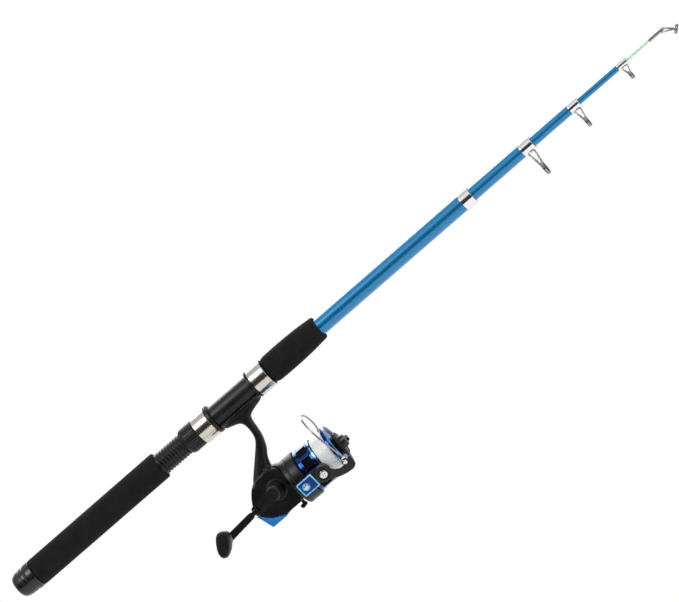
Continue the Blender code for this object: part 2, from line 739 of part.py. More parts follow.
def pinion_group(rotor_axis):
    teeth = gear_outline(PINION_TEETH, PINION_ROOT_R, PINION_TIP_R, 0.52, 0.18, math.pi / PINION_TEETH)
    bore = circle(SHAFT_BORE_R, sides=SIDES_BLANK)
    pinion = plate("pinion", [teeth, bore], GEAR_X + 0.0083, GEAR_X + 0.0117, "X")
    pinion = add("pinion", pinion, brass(), rotor_axis)
    start, end = GEAR_X + 0.0115, 0.2472
    collar = [(start, SHAFT_BORE_R), (start, PINION_COLLAR_R)]
    collar += [(end, PINION_COLLAR_R), (end, SHAFT_BORE_R)]
    join(pinion, add("pinion_collar", turned("pinion_collar", collar, 16), brass(), rotor_axis))
    pinion.rotation_euler = (-ROTOR_TURN, 0, 0)
    inner = PINION_COLLAR_R + SLIDE_GAP
    bearing = [(0.2348, inner), (0.2348, 0.0050), (0.2370, 0.0050), (0.2370, inner)]
    add("pinion_bearing", turned("pinion_bearing", bearing, 20), steel(), location=(0, 0, REEL_Z))
    pitch = math.tau / RATCHET_TEETH
    wheel = []
    for tooth in range(RATCHET_TEETH):
        for radius, share in ((RATCHET_R - 0.0020, 0.0), (RATCHET_R, 0.08), (RATCHET_R, 0.25)):
            angle = (tooth + share) * pitch
            wheel.append((radius * math.cos(angle), radius * math.sin(angle)))
    loops = [wheel, circle(inner, sides=SIDES_BLANK)]
    add("anti_reverse_ratchet", plate("ratchet", loops, *RATCHET_X, "X"), steel(), rotor_axis)


def main_shaft_group():
    at = (0, 0, REEL_Z)
    shaft = [(0.2000, 0), (0.2000, SHAFT_R), (0.2890, SHAFT_R), (0.2890, 0)]
    add("main_shaft", turned("main_shaft", shaft, SIDES_BLANK), steel(), location=at)
    middle = GEAR_X - SPUR_DISTANCE - STROKE / 2
    top = GEAR_OFFSET + STROKE / 2 + 0.0012
    outline = [(middle - 0.0026, top), (middle + 0.0026, top)]
    outline += [(middle + 0.0026, -0.0022), (middle - 0.0026, -0.0022)]
    window = [(middle - 0.0010, top - 0.0005), (middle + 0.0010, top - 0.0005)]
    window += [(middle + 0.0010, 0.0002), (middle - 0.0010, 0.0002)]
    slider = plate("oscillation_slider", [outline, window], -0.0027, -0.0014)
    add("oscillation_slider", slider, zinc(), location=at)


def anti_reverse(lever_axis):
    """A lever under the case whose shaft runs forward through the wall to a pawl beside the ratchet."""
    lever = drill("anti_reverse_lever", LEVER_SHAFT_R, 0.2268, 0.2401, lever_axis)
    arm = [(-0.0011, 0.0004), (0.0011, 0.0004), (0.0011, -0.0080), (-0.0011, -0.0080)]
    thumb = [(0.2236, -0.0082), (0.2244, -0.0064), (0.2300, -0.0064), (0.2300, -0.0092)]
    thumb += [(0.2250, -0.0102)]
    arm = plate("lever_arm", [arm], 0.2268, 0.2294, "X")
    thumb = plate("lever_thumb", [thumb], -0.0017, 0.0017)
    join(
        lever,
        add("lever_arm", arm, black_plastic(), lever_axis),
        add("lever_thumb", thumb, black_plastic(), lever_axis),
    )
    outline = [(-0.0066, 0.0002), (-0.0060, 0.0012), (0.0, 0.0021), (0.0019, 0.0008), (0.0016, -0.0014)]
    outline += [(-0.0004, -0.0020)]
    hole = circle(LEVER_SHAFT_R + SLIDE_GAP, sides=12)
    add("anti_reverse_pawl", plate("pawl", [outline, hole], *RATCHET_X, "X"), steel(), lever_axis)


# Rotor and bail


def rotor_group(rotor_axis):
    bore = PINION_COLLAR_R + SLIDE_GAP
    profile = [(0.2413, bore), (0.2413, 0.0172), (0.2340, 0.0172), (0.2340, ROTOR_RIM_R - 0.0008)]
    profile += [(0.2350, ROTOR_RIM_R), (0.2472, ROTOR_RIM_R), (0.2478, ROTOR_RIM_R - 0.0008)]
    profile += [(0.2478, 0.0180), (0.2570, 0.0180), (0.2570, 0.0166), (0.2438, 0.0166), (0.2438, bore)]
    rotor = add("rotor", turned("rotor", profile, SIDES_FINE), black_plastic(), rotor_axis)
    pivot_hole = circle(PIVOT_HOLE_R, (PIVOT_X, 0), SIDES_BLANK)
    for side, name in ((-1, "near"), (1, "far")):
        end = circle(0.0066, (PIVOT_X, 0), SIDES_BLANK)
        front = sorted((point for point in end if point[0] > PIVOT_X - 0.001), key=lambda p: p[1])
        outline = [(0.2360, -ARM_HALF), *front, (0.2360, ARM_HALF)]
        low, high = sorted((side * ARM_IN, side * ARM_OUT))
        arm = plate(f"rotor_arm_{name}", [outline, pivot_hole], low, high)
        join(rotor, add(f"rotor_arm_{name}", arm, black_plastic(), rotor_axis))
        outline = [(0.2375, -0.0066), (0.2535, -0.0066), (0.2535, 0.0066), (0.2375, 0.0066)]
        outer = side * (ARM_OUT + 0.0018)
        low, high = sorted((side * (ARM_OUT + GAP), outer))
        cover = rounded_plate(f"arm_cover_{name}", outline, low, high, 0.0006, outer)
        add(f"arm_cover_{name}", cover, blue_plating(), rotor_axis)
        head = [(0, 0), (0, 0.0021), (0.0005, 0.0021), (0.0009, 0.0012), (0.0009, 0)]
        screw = turned(f"arm_cover_screw_{name}", head, 12)
        where = (0.2435, outer + side * 0.0001, 0)
        turn = ALONG_Y if side > 0 else AGAINST_Y
        add(f"arm_cover_screw_{name}", screw, steel(), rotor_axis, where, turn)
    loops = [circle(0.0052, sides=6), circle(bore, sides=SIDES_BLANK)]
    add("rotor_nut", plate("rotor_nut", loops, 0.2441, 0.2466, "X"), brass(), rotor_axis)


def pivot_screw(name, radius, reach, turn, rotor_axis):
    """A shouldered screw that a side of the bail swings on. Its head stands outside that side's piece."""
    head = reach + GAP
    screw = [(0.0206, 0), (0.0206, PIVOT_PIN_R), (head, PIVOT_PIN_R), (head, radius)]
    screw += [(head + 0.0008, radius), (head + 0.0012, radius - 0.0008), (head + 0.0012, 0)]
    screw = turned(name, screw, SIDES_BLANK)
    add(name, screw, polished_steel(), rotor_axis, (PIVOT_X, 0, 0), turn)


def bail_group(bail_axis):
    """Pieces that swing on the two pivots. Their local x and z start at the pivots' axis."""
    start = ARM_OUT + GAP
    low, high = BAIL_LEVER
    boss = [(start, PIVOT_HOLE_R), (start, BOSS_R), (high - 0.0006, BOSS_R), (high, BOSS_R - 0.0006)]
    boss = turned("bail_boss", [*boss, (high, PIVOT_HOLE_R)], SIDES)
    arm = add("bail_arm", boss, black_plastic(), bail_axis, rotation=AGAINST_Y)
    outline = [(-0.0010, -0.0066), (0.0100, -0.0104), (0.0215, -0.0146), (0.0258, -0.0122)]
    outline += [(0.0262, -0.0070), (0.0232, 0.0002), (0.0180, 0.0010), (0.0110, 0.0008)]
    outline += [(0.0050, 0.0046), (0.0030, 0.0046)]
    lever = rounded_plate("bail_lever", outline, -high, -low, 0.0006, -high)
    join(arm, add("bail_lever", lever, black_plastic(), bail_axis))
    cut(arm, drill("bail_drill", PIVOT_HOLE_R, 0.0200, 0.0300, bail_axis, rotation=AGAINST_Y))
    pivot_screw("bail_pivot_screw", 0.0034, high, AGAINST_Y, bail_axis.parent)
    far = 0.0268
    holder = [(start, PIVOT_HOLE_R), (start, 0.0056), (far - 0.0005, 0.0056), (far, 0.0051)]
    holder = turned("bail_holder", [*holder, (far, PIVOT_HOLE_R)], SIDES)
    add("bail_holder", holder, black_plastic(), bail_axis, rotation=ALONG_Y)
    pivot_screw("bail_holder_screw", 0.0030, far, ALONG_Y, bail_axis.parent)
    x, z = ROLLER_AT[0] - PIVOT_X, ROLLER_AT[1]
    route = [(x, -0.0262, z), (x, -0.0240, z), (x, -0.0222, z)]
    arch = [(x, -0.0216, z + 0.0010), (x, -0.0217, z + 0.0036), (x - 0.0003, -0.0227, z + 0.0072)]
    arch += [(x - 0.0010, -0.0238, 0.0110)]
    arch += [(0.0170, -0.0222, 0.0215), (0.0150, -0.0165, 0.0310), (0.0138, -0.0085, 0.0368)]
    arch += [(0.0134, 0.0, 0.0386), (0.0134, 0.0085, 0.0370), (0.0138, 0.0165, 0.0318)]
    arch += [(0.0136, 0.0225, 0.0230), (0.0122, 0.0256, 0.0140), (0.0082, 0.0258, 0.0072)]
    arch += [(0.0050, 0.0256, 0.0036)]
    bail = wire("bail_wire", route[:-1] + smooth_route(route[-1:] + arch, 2), 0.0008, 6)
    add("bail_wire", bail, polished_steel(), bail_axis)
    roller = [(0, 0.0011), (0, 0.0026), (0.0010, 0.0019), (0.0020, 0.0019), (0.0030, 0.0026)]
    roller = turned("line_roller", [*roller, (0.0030, 0.0011)], 14)
    add("line_roller", roller, polished_steel(), bail_axis, (x, -0.0261, z), ALONG_Y)


# Spool, drag and crank


def spool_group():
    at = (0, 0, REEL_Z)
    bore = SHAFT_BORE_R
    wall = 0.0012
    profile = [(SKIRT_START, SKIRT_R - wall), (SKIRT_START, SKIRT_R), (0.2650, SKIRT_R), (0.2650, ARBOR_R)]
    profile += [(0.2780, ARBOR_R), (0.2780, FLANGE_R - 0.0004), (0.2786, FLANGE_R), (0.2814, FLANGE_R)]
    profile += [(SPOOL_FRONT, FLANGE_R - 0.0006), (0.2806, 0.0160), (0.2806, 0.0092), (0.2720, 0.0092)]
    profile += [(0.2720, bore), (0.2620, bore), (0.2620, 0.0050), (0.2690, 0.0050), (0.2690, 0.0104)]
    profile += [(0.2634, 0.0104), (0.2634, SKIRT_R - wall)]
    add("spool", turned("spool", profile, SIDES_FINE), blue_plating(), location=at)
    line = [(0.2653, ARBOR_R + GAP), (0.2653, LINE_R - 0.0005), (0.2675, LINE_R), (0.2755, LINE_R)]
    line += [(0.2777, LINE_R - 0.0005), (0.2777, ARBOR_R + GAP)]
    add("wound_line", turned("wound_line", line, SIDES), nylon(), location=at)
    washers = [(0.2723, bore), (0.2723, 0.0086), (0.2733, 0.0086), (0.2733, 0.0080), (0.2741, 0.0080)]
    washers += [(0.2741, 0.0086), (0.2751, 0.0086), (0.2751, 0.0080), (0.2759, 0.0080), (0.2759, bore)]
    add("drag_washers", turned("drag_washers", washers, 20), steel(), location=at)
    knob = [(0.2762, bore), (0.2762, 0.0084), (0.2824, 0.0084), (0.2824, 0.0102), (0.2832, 0.0108)]
    knob += [(0.2850, 0.0108), (0.2858, 0.0102), (0.2858, 0.0060), (0.2896, 0.0050), (0.2896, 0)]
    knob += [(0.2893, 0), (0.2893, bore)]
    knob = add("drag_knob", turned("drag_knob", knob, SIDES), black_plastic(), location=at)
    wing = [(-0.0100, -0.0022), (0.0100, -0.0022), (0.0106, 0.0)]
    wing = plate("drag_wing", [wing + [(-y, -z) for y, z in wing]], 0.2852, 0.2908, "X")
    join(knob, add("drag_wing", wing, black_plastic(), location=at))
    cut(knob, drill("knob_drill", bore, 0.2750, 0.2893, None, at))


def crank_group(crank_axis):
    """The shank with its fork, the folding arm, its pin, and the knob on its rivet."""
    frame = axis_empty("crank_frame", (0, 0, 0), (0, CRANK_TILT, 0))
    frame.parent = crank_axis
    start, end = -CASE_NEAR_Y + 0.0006, -FORK_Y[0]
    boss = [(start, 0), (start, 0.0068), (start + 0.0030, 0.0070), (start + 0.0060, 0.0058)]
    boss += [(end - 0.0080, 0.0050), (end - 0.0062, 0.0062), (end - 0.0008, 0.0062)]
    boss = turned("crank_boss", [*boss, (end + 0.0004, 0.0050), (end + 0.0004, 0)], SIDES)
    shank = add("crank_shank", boss, black_plastic(), frame, rotation=AGAINST_Y)
    upper = [(0.0, 0.0062), (-0.0110, 0.0052), (FOLD_X - 0.0022, 0.0044), (FOLD_X - 0.0036, 0.0026)]
    fork = plate("crank_fork", [upper + [(x, -z) for x, z in reversed(upper)]], *FORK_Y)
    join(shank, add("crank_fork", fork, black_plastic(), frame))
    low = (FOLD_X - 0.0060, FORK_Y[0] - 0.0030, -0.0024)
    high = (FOLD_X + 0.0050, FORK_Y[1] + 0.0030, 0.0024)
    at_fold = (FOLD_X, sum(ARM_Y) / 2, 0)
    cut(
        shank,
        add("fork_slot", box("fork_slot", low, high), black_plastic(), frame),
        drill("pin_hole", FOLD_PIN_R + SLIDE_GAP, -0.0080, 0.0080, frame, at_fold, AGAINST_Z),
    )
    pin = [(-0.0038, 0), (-0.0038, FOLD_PIN_R), (0.0038, FOLD_PIN_R), (0.0038, 0)]
    pin = turned("crank_fold_pin", pin, 12)
    add("crank_fold_pin", pin, steel(), frame, at_fold, AGAINST_Z)
    fold = axis_empty("fold_axis", at_fold)
    fold.parent = frame
    crank_arm(fold)


def crank_arm(fold):
    half = (ARM_Y[1] - ARM_Y[0]) / 2
    eye = sorted((p for p in circle(half, sides=SIDES_BLANK) if p[0] > -0.0005), key=lambda p: p[1])
    outline = [*eye, (-ARM_LENGTH - 0.0030, half), (-ARM_LENGTH - 0.0030, -half)]
    loops = [outline, circle(FOLD_PIN_R + SLIDE_GAP, sides=12)]
    arm = plate("crank_arm", loops, -0.0020, 0.0020, "Z")
    arm = add("crank_arm", arm, black_plastic(), fold)
    upper = [(-0.0060, 0.0028), (-ARM_LENGTH, 0.0034), (-ARM_LENGTH - 0.0034, 0.0018)]
    blade = plate("arm_blade", [upper + [(x, -z) for x, z in reversed(upper)]], -half, half)
    at = (-ARM_LENGTH, 0, 0)
    join(arm, add("arm_blade", blade, black_plastic(), fold))
    cut(arm, drill("rivet_hole", RIVET_HOLE_R, -0.0030, 0.0030, fold, at, AGAINST_Y))
    start, end = (sum(ARM_Y) / 2 - y for y in reversed(KNOB_Y))
    low, head, tip = -half - 0.0006, -half - FINE_GAP, end - 0.0040
    rivet = [(low, 0), (low, 0.0024), (head, 0.0024), (head, RIVET_R), (tip, RIVET_R), (tip, 0)]
    add("knob_rivet", turned("knob_rivet", rivet, 12), steel(), fold, at, AGAINST_Y)
    add("crank_knob", knob_mesh(start, end), black_plastic(), fold, at, (0, KNOB_TURN, 0))


def knob_mesh(start, end):
    """A flat eight-sided grip that widens from a round neck, with a bore for its rivet."""
    rows = ((0.0, 0.0042, 0.0042), (0.14, 0.0046, 0.0044), (0.30, 0.0066, 0.0048), (0.55, 0.0098, 0.0058))
    rows += ((0.80, 0.0110, 0.0062), (0.94, 0.0106, 0.0058), (1.0, 0.0090, 0.0046))
    corner = 0.55
    bore = circle(RIVET_HOLE_R, sides=8, phase=math.pi / 8)
    rings = [[(x, y, z) for x, z in bore] for y in (-(end - 0.0036), -start)]
    for share, high, deep in rows:
        y = -(start + share * (end - start))
        right = [(deep, high * corner), (deep * corner, high), (-deep * corner, high), (-deep, high * corner)]
        rings.append([(x, y, z) for x, z in right + [(-x, -z) for x, z in right]])
    bm = bmesh.new()
    grid = [[bm.verts.new(point) for point in ring] for ring in rings]
    for low, high in zip(grid, grid[1:]):
        for index in range(8):
            following = (index + 1) % 8
            bm.faces.new((low[index], low[following], high[following], high[index]))
    bm.faces.new(grid[0])
    bm.faces.new(grid[-1])
    return mesh_of("crank_knob", bm)


def build():
    clear_scene()
    butt_cap()
    grips()
    reel_seat()
    sliding_hood()
    locking_nut()
    blanks()
    guides()
    tip_top()
    reel_body()
    covers()
    crank_axis = axis_empty("crank_axis", (GEAR_X, 0, GEAR_Z))
    rotor_axis = axis_empty("rotor_axis", (0, 0, REEL_Z), (ROTOR_TURN, 0, 0))
    bail_axis = axis_empty("bail_axis", (PIVOT_X, 0, 0))
    bail_axis.parent = rotor_axis
    lever_axis = axis_empty("lever_axis", (0, *LEVER_AT))
    gear_train(crank_axis)
    pinion_group(rotor_axis)
    main_shaft_group()
    anti_reverse(lever_axis)
    rotor_group(rotor_axis)
    bail_group(bail_axis)
    spool_group()
    crank_group(crank_axis)


build()
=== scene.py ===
# %% [markdown]
# # A telescopic fishing rod with a small spinning reel
#
# The rod is a handle with foam grips and four glass-fibre tubes that slide into each other. The reel
# hangs under the handle, held by two hoods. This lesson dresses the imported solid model: each cell makes
# one piece at its real place, gives it a finish, and ties it to the body that it moves with.

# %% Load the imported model
import math

import bmesh
import bpy
from mathutils import Matrix, Vector


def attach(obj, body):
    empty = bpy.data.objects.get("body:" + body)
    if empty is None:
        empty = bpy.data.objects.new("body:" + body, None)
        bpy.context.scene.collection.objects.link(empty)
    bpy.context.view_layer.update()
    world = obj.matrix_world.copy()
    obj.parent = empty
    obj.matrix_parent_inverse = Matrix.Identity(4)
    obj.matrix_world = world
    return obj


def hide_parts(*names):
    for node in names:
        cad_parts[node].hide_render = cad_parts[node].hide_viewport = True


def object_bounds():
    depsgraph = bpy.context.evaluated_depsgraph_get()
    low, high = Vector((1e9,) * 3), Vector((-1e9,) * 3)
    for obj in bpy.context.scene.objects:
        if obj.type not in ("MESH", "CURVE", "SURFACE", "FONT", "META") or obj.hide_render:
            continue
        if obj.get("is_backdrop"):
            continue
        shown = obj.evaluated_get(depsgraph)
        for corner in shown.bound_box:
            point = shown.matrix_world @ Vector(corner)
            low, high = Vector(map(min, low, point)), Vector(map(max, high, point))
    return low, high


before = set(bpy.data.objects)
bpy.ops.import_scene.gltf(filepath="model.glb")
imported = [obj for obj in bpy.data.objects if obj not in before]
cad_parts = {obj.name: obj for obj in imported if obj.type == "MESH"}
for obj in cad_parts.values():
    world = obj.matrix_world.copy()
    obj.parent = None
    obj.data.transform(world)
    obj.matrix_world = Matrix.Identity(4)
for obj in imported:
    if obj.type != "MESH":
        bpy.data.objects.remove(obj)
cad_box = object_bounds()

# %% [markdown]
# ## The camera and the light
#
# The rod is looked at from the crank's side through a long lens, so it hardly shrinks with distance,
# and the camera is rolled until the rod climbs to the right. Polished bands are only as good as what
# they mirror. A studio puts white card above and below them and leaves the room dark in front,
# which draws the dark line along each band. Here the world does the card's work: it is bright above
# and below, and dark in a soft belt at the height of the camera.

# %% The camera
AZIMUTH = math.radians(9.0)
ROLL = math.radians(41.0)
FRAME_WIDTH = 0.5520
LENS, SENSOR = 200.0, 36.0
TARGET = Vector((0.3606, 0.0, 0.0052))

back = Vector((math.sin(AZIMUTH), -math.cos(AZIMUTH), 0.0))
level_right = Vector((math.cos(AZIMUTH), math.sin(AZIMUTH), 0.0))
level_up = Vector((0.0, 0.0, 1.0))
right = level_right * math.cos(ROLL) - level_up * math.sin(ROLL)
up = level_right * math.sin(ROLL) + level_up * math.cos(ROLL)

camera = bpy.data.objects.new("camera", bpy.data.cameras.new("camera"))
bpy.context.scene.collection.objects.link(camera)
camera.data.lens = LENS
camera.data.sensor_width = SENSOR
camera.data.clip_end = 20.0
distance = FRAME_WIDTH * LENS / SENSOR
camera.matrix_world = Matrix.Translation(TARGET + back * distance) @ Matrix(
    (right, up, back)
).transposed().to_4x4()
bpy.context.scene.camera = camera
print("camera distance:", round(distance, 2), "m")


# %% A helper for colours and one for nodes
def srgb(code):
    """A hex colour as it is seen on a screen, turned to the linear values that the shader works in."""
    parts = [int(code[i : i + 2], 16) / 255 for i in (1, 3, 5)]
    return (*(c / 12.92 if c <= 0.04045 else ((c + 0.055) / 1.055) ** 2.4 for c in parts), 1.0)


def add_node(tree, kind, settings=None, inputs=None):
    """Adds a node, sets its options, and gives each input a value or the output that feeds it."""
    made = tree.nodes.new("ShaderNode" + kind)
    for name, value in (settings or {}).items():
        setattr(made, name, value)
    for name, value in (inputs or {}).items():
        if isinstance(value, bpy.types.NodeSocket):
            tree.links.new(value, made.inputs[name])
        else:
            made.inputs[name].default_value = value
    return made


def set_stops(ramp, stops):
    """Puts a colour ramp's stops at (place, colour)."""
    elements = ramp.color_ramp.elements
    elements.remove(elements[1])
    elements[0].position, elements[0].color = stops[0]
    for place, colour in stops[1:]:
        elements.new(place).color = colour


print("srgb(#808080) =", [round(c, 3) for c in srgb("#808080")])

# %% The world: white card with a dark belt in front
world = bpy.data.worlds.new("studio")
world.use_nodes = True
bpy.context.scene.world = world
tree = world.node_tree
tree.nodes.clear()
direction = add_node(tree, "TexCoord").outputs["Generated"]
parts = add_node(tree, "SeparateXYZ", inputs={"Vector": direction})
height = add_node(tree, "MapRange", inputs={"Value": parts.outputs["Z"], "From Min": -1.0, "From Max": 1.0})
belt = add_node(tree, "ValToRGB", inputs={"Fac": height.outputs["Result"]})
set_stops(
    belt,
    [
        (0.00, srgb("#8f8c88")),
        (0.14, srgb("#dcd6ce")),
        (0.25, srgb("#c4bdb3")),
        (0.31, srgb("#4b4742")),
        (0.36, srgb("#33312e")),
        (0.66, srgb("#423f3b")),
        (0.75, srgb("#e4e2e0")),
        (0.84, srgb("#fafafa")),
        (1.00, srgb("#c9c9cc")),
    ],
)
front = add_node(
    tree, "MapRange", inputs={"Value": parts.outputs["Y"], "From Min": -0.45, "From Max": -0.15}
)
surround = add_node(
    tree,
    "MixRGB",
    inputs={"Fac": front.outputs["Result"], "Color1": belt.outputs["Color"], "Color2": srgb("#d4d4d4")},
)
seen = add_node(tree, "LightPath").outputs["Is Camera Ray"]
colour = add_node(
    tree, "MixRGB", inputs={"Fac": seen, "Color1": surround.outputs["Color"], "Color2": (1, 1, 1, 1)}
)
light = add_node(tree, "Background", inputs={"Color": colour.outputs["Color"], "Strength": 1.0})
add_node(tree, "OutputWorld", inputs={"Surface": light.outputs["Background"]})
bpy.context.scene.view_settings.view_transform = "Standard"
print("world nodes:", len(tree.nodes))


# %% The lamps and the floor
def add_lamp(name, place, size, power):
    """A soft square lamp that points at the middle of the rod."""
    lamp = bpy.data.objects.new(name, bpy.data.lights.new(name, "AREA"))
    lamp.data.size = size
    lamp.data.energy = power
    lamp.location = place
    lamp.rotation_euler = (TARGET - Vector(place)).to_track_quat("-Z", "Y").to_euler()
    bpy.context.scene.collection.objects.link(lamp)


add_lamp("key", (-0.4, -1.4, 1.5), 0.9, 15)
add_lamp("fill", (1.4, -1.2, 0.2), 0.9, 5)
add_lamp("rim", (0.4, 1.2, 1.0), 1.2, 14)

FLOOR_Z = -0.45
LEFT, RIGHT = -2.0, 3.0
NEAR, FAR = -1.1, 0.7
corners = [(LEFT, NEAR, FLOOR_Z), (RIGHT, NEAR, FLOOR_Z), (RIGHT, FAR, FLOOR_Z), (LEFT, FAR, FLOOR_Z)]
floor_mesh = bpy.data.meshes.new("floor")
floor_mesh.from_pydata(corners, [], [(0, 1, 2, 3)])
floor = bpy.data.objects.new("floor", floor_mesh)
bpy.context.scene.collection.objects.link(floor)
paper = bpy.data.materials.new("matt_paper")
paper.use_nodes = True
grain = add_node(paper.node_tree, "TexNoise", inputs={"Scale": 300.0})
fibre = add_node(paper.node_tree, "Bump", inputs={"Height": grain.outputs["Fac"], "Strength": 0.05})
sheet = paper.node_tree.nodes["Principled BSDF"]
paper.node_tree.links.new(fibre.outputs["Normal"], sheet.inputs["Normal"])
sheet.inputs["Base Color"].default_value = srgb("#f2f2f0")
sheet.inputs["Roughness"].default_value = 0.9
floor.data.materials.append(paper)
floor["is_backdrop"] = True
print("floor at", FLOOR_Z, "m")

# %% [markdown]
# ## The finishes
#
# Each finish starts from the real material: foam, moulded plastic, polished or plated metal, lacquer.
# Textures are read in the object's own space, in metres, so a scale is simply 1 divided by the size of
# one grain. `PER_MM` turns a size in millimetres into that scale. Grain that is too fine to show at
# this distance is drawn several times coarser, and the comment beside it says so.

# %% Tools for making a finish
PER_MM = 1000.0


def start_finish(name, colour, roughness, metallic=0.0, **sockets):
    """A Principled material with its even values on the shader's own sockets."""
    material = bpy.data.materials.new(name)
    material.use_nodes = True
    shader = material.node_tree.nodes["Principled BSDF"]
    shader.inputs["Base Color"].default_value = srgb(colour)
    shader.inputs["Roughness"].default_value = roughness
    shader.inputs["Metallic"].default_value = metallic
    for socket, value in sockets.items():
        shader.inputs[socket.replace("_", " ")].default_value = value
    where = add_node(material.node_tree, "TexCoord").outputs["Object"]
    return material, material.node_tree, shader, where


def vary_colour(tree, shader, value, low, high, start=0.35, end=0.65):
    """Feeds the base colour from a pattern, between two hex colours."""
    ramp = add_node(tree, "ValToRGB", inputs={"Fac": value})
    set_stops(ramp, [(start, srgb(low)), (end, srgb(high))])
    tree.links.new(ramp.outputs["Color"], shader.inputs["Base Color"])


def vary_roughness(tree, shader, value, low, high):
    """Feeds the roughness from a pattern."""
    spread = add_node(tree, "MapRange", inputs={"Value": value, "To Min": low, "To Max": high})
    tree.links.new(spread.outputs["Result"], shader.inputs["Roughness"])


def bump(tree, shader, value, depth_mm):
    """Dents the surface by a depth in millimetres."""
    made = add_node(tree, "Bump", inputs={"Height": value, "Distance": depth_mm / PER_MM, "Strength": 1.0})
    tree.links.new(made.outputs["Normal"], shader.inputs["Normal"])


def clouds(tree, where, grain_mm, detail=2.0):
    """A soft random pattern with grains of a size in millimetres."""
    made = add_node(tree, "TexNoise", inputs={"Vector": where, "Scale": PER_MM / grain_mm, "Detail": detail})
    return made.outputs["Fac"]


# %% Painted shade on the floors of the spool's windows
# A matt near-black on the shallow window floors, as painted shade for the dark inside of the skirt.
painted_shade_inside, tree, shader, where = start_finish(
    "painted_shade_window_floor", "#0a0a0c", 0.9, Specular_IOR_Level=0.1
)
painted_shade_noise = clouds(tree, where, 2, 4.0)
vary_colour(tree, shader, painted_shade_noise, "#070708", "#0e0e11")
bump(tree, shader, painted_shade_noise, 0.02)
print(painted_shade_inside.name)

# %% Closed-cell EVA foam, ground round on a lathe
# Foam has no gloss. Its cut cells are 0.2 to 0.4 mm wide, and are drawn at 0.8 mm so that they show.
eva_foam, tree, shader, where = start_finish("ground_eva_foam", "#161617", 0.92, Specular_IOR_Level=0.25)
cells = add_node(tree, "TexVoronoi", inputs={"Vector": where, "Scale": PER_MM / 0.8})
mottle = clouds(tree, where, 9, 4.0)
vary_colour(tree, shader, mottle, "#131314", "#1a1a1b")
bump(tree, shader, cells.outputs["Distance"], 0.12)
print(eva_foam.name)

# %% Moulded ABS with a fine spark-eroded grain
# The mould's grain is about 0.1 mm, drawn at 0.5 mm. It breaks the highlights into a satin sheen.
satin_abs, tree, shader, where = start_finish(
    "moulded_abs_satin", "#121214", 0.36, IOR=1.5, Specular_IOR_Level=0.35
)
grain = clouds(tree, where, 0.5, 3.0)
flow = clouds(tree, where, 14)
vary_colour(tree, shader, flow, "#0e0e10", "#161619")
vary_roughness(tree, shader, flow, 0.30, 0.44)
bump(tree, shader, grain, 0.02)
print(satin_abs.name)

# %% The same plastic from a polished mould, for the butt cap
gloss_abs, tree, shader, where = start_finish("moulded_abs_gloss", "#131314", 0.25, IOR=1.53)
scuffs = clouds(tree, where, 3, 6.0)
vary_colour(tree, shader, scuffs, "#0e0e0f", "#1a1a1b")
vary_roughness(tree, shader, scuffs, 0.16, 0.36)
bump(tree, shader, scuffs, 0.02)
print(gloss_abs.name)


# %% Stainless steel, polished along its length
# Polishing belts leave hair lines about 0.05 mm wide. They are drawn 0.3 mm wide and 30 mm long.
def polished_metal(name, colour, low, high, lines_mm=(30, 0.3)):
    """A metal whose hair lines run along X, with the length and width of one line in millimetres."""
    material, tree, shader, where = start_finish(name, colour, low, 1.0)
    long, fine = lines_mm
    stretched = add_node(
        tree, "Mapping", inputs={"Vector": where, "Scale": (PER_MM / long, PER_MM / fine, PER_MM / fine)}
    )
    hair = add_node(tree, "TexNoise", inputs={"Vector": stretched.outputs["Vector"], "Scale": 1.0})
    vary_roughness(tree, shader, hair.outputs["Fac"], low, high)
    bump(tree, shader, hair.outputs["Fac"], 0.0012)
    return material


hood_steel = polished_metal("belt_polished_stainless", "#d6d0c8", 0.10, 0.24)
band_chrome = polished_metal("plated_brass_band", "#f1f1f2", 0.05, 0.12)
wire_steel = polished_metal("drawn_stainless_wire", "#a4a4a8", 0.10, 0.2, (8, 0.2))
screw_steel = polished_metal("nickel_plated_screw", "#e0dfdc", 0.12, 0.26, (2, 0.4))
inner_steel = polished_metal("turned_steel", "#9b9c9f", 0.28, 0.42, (4, 0.3))
inner_brass = polished_metal("turned_brass", "#c9a357", 0.25, 0.38, (4, 0.3))
inner_zinc = polished_metal("die_cast_zinc", "#8d8f93", 0.42, 0.6, (1.5, 1.5))
print("metals:", hood_steel.name, band_chrome.name, wire_steel.name, screw_steel.name)

# %% Metallic lacquer over wound glass fibre
# Aluminium flakes of about 0.03 mm float in blue lacquer. They are drawn at 0.35 mm, very faint.
lacquer, tree, shader, where = start_finish(
    "metallic_lacquer_on_glass_fibre", "#0a7fb8", 0.28, 0.5, Coat_Weight=0.8, Coat_Roughness=0.1
)
flakes = add_node(tree, "TexVoronoi", inputs={"Vector": where, "Scale": PER_MM / 0.35})
vary_colour(tree, shader, flakes.outputs["Color"], "#0878b0", "#0e88c4", 0.2, 0.8)
windings = add_node(
    tree, "TexWave", {"bands_direction": "X"}, {"Vector": where, "Scale": PER_MM / 6, "Distortion": 1.5}
)
bump(tree, shader, windings.outputs["Fac"], 0.006)
print(lacquer.name)

# %% Luminous solid tip
glow_tip, tree, shader, where = start_finish(
    "luminous_glass_tip", "#bdf0c4", 0.35, Subsurface_Weight=0.3, Subsurface_Scale=0.002
)
pigment = clouds(tree, where, 2, 3.0)
vary_colour(tree, shader, pigment, "#aeeab6", "#cdf5d2")
bump(tree, shader, pigment, 0.01)
print(glow_tip.name)

# %% Fired ceramic ring
ceramic, tree, shader, where = start_finish("fired_alumina_ceramic", "#2a2b2f", 0.18, IOR=1.76)
fired = clouds(tree, where, 0.6)
vary_colour(tree, shader, fired, "#232428", "#34363b")
bump(tree, shader, fired, 0.01)
print(ceramic.name)

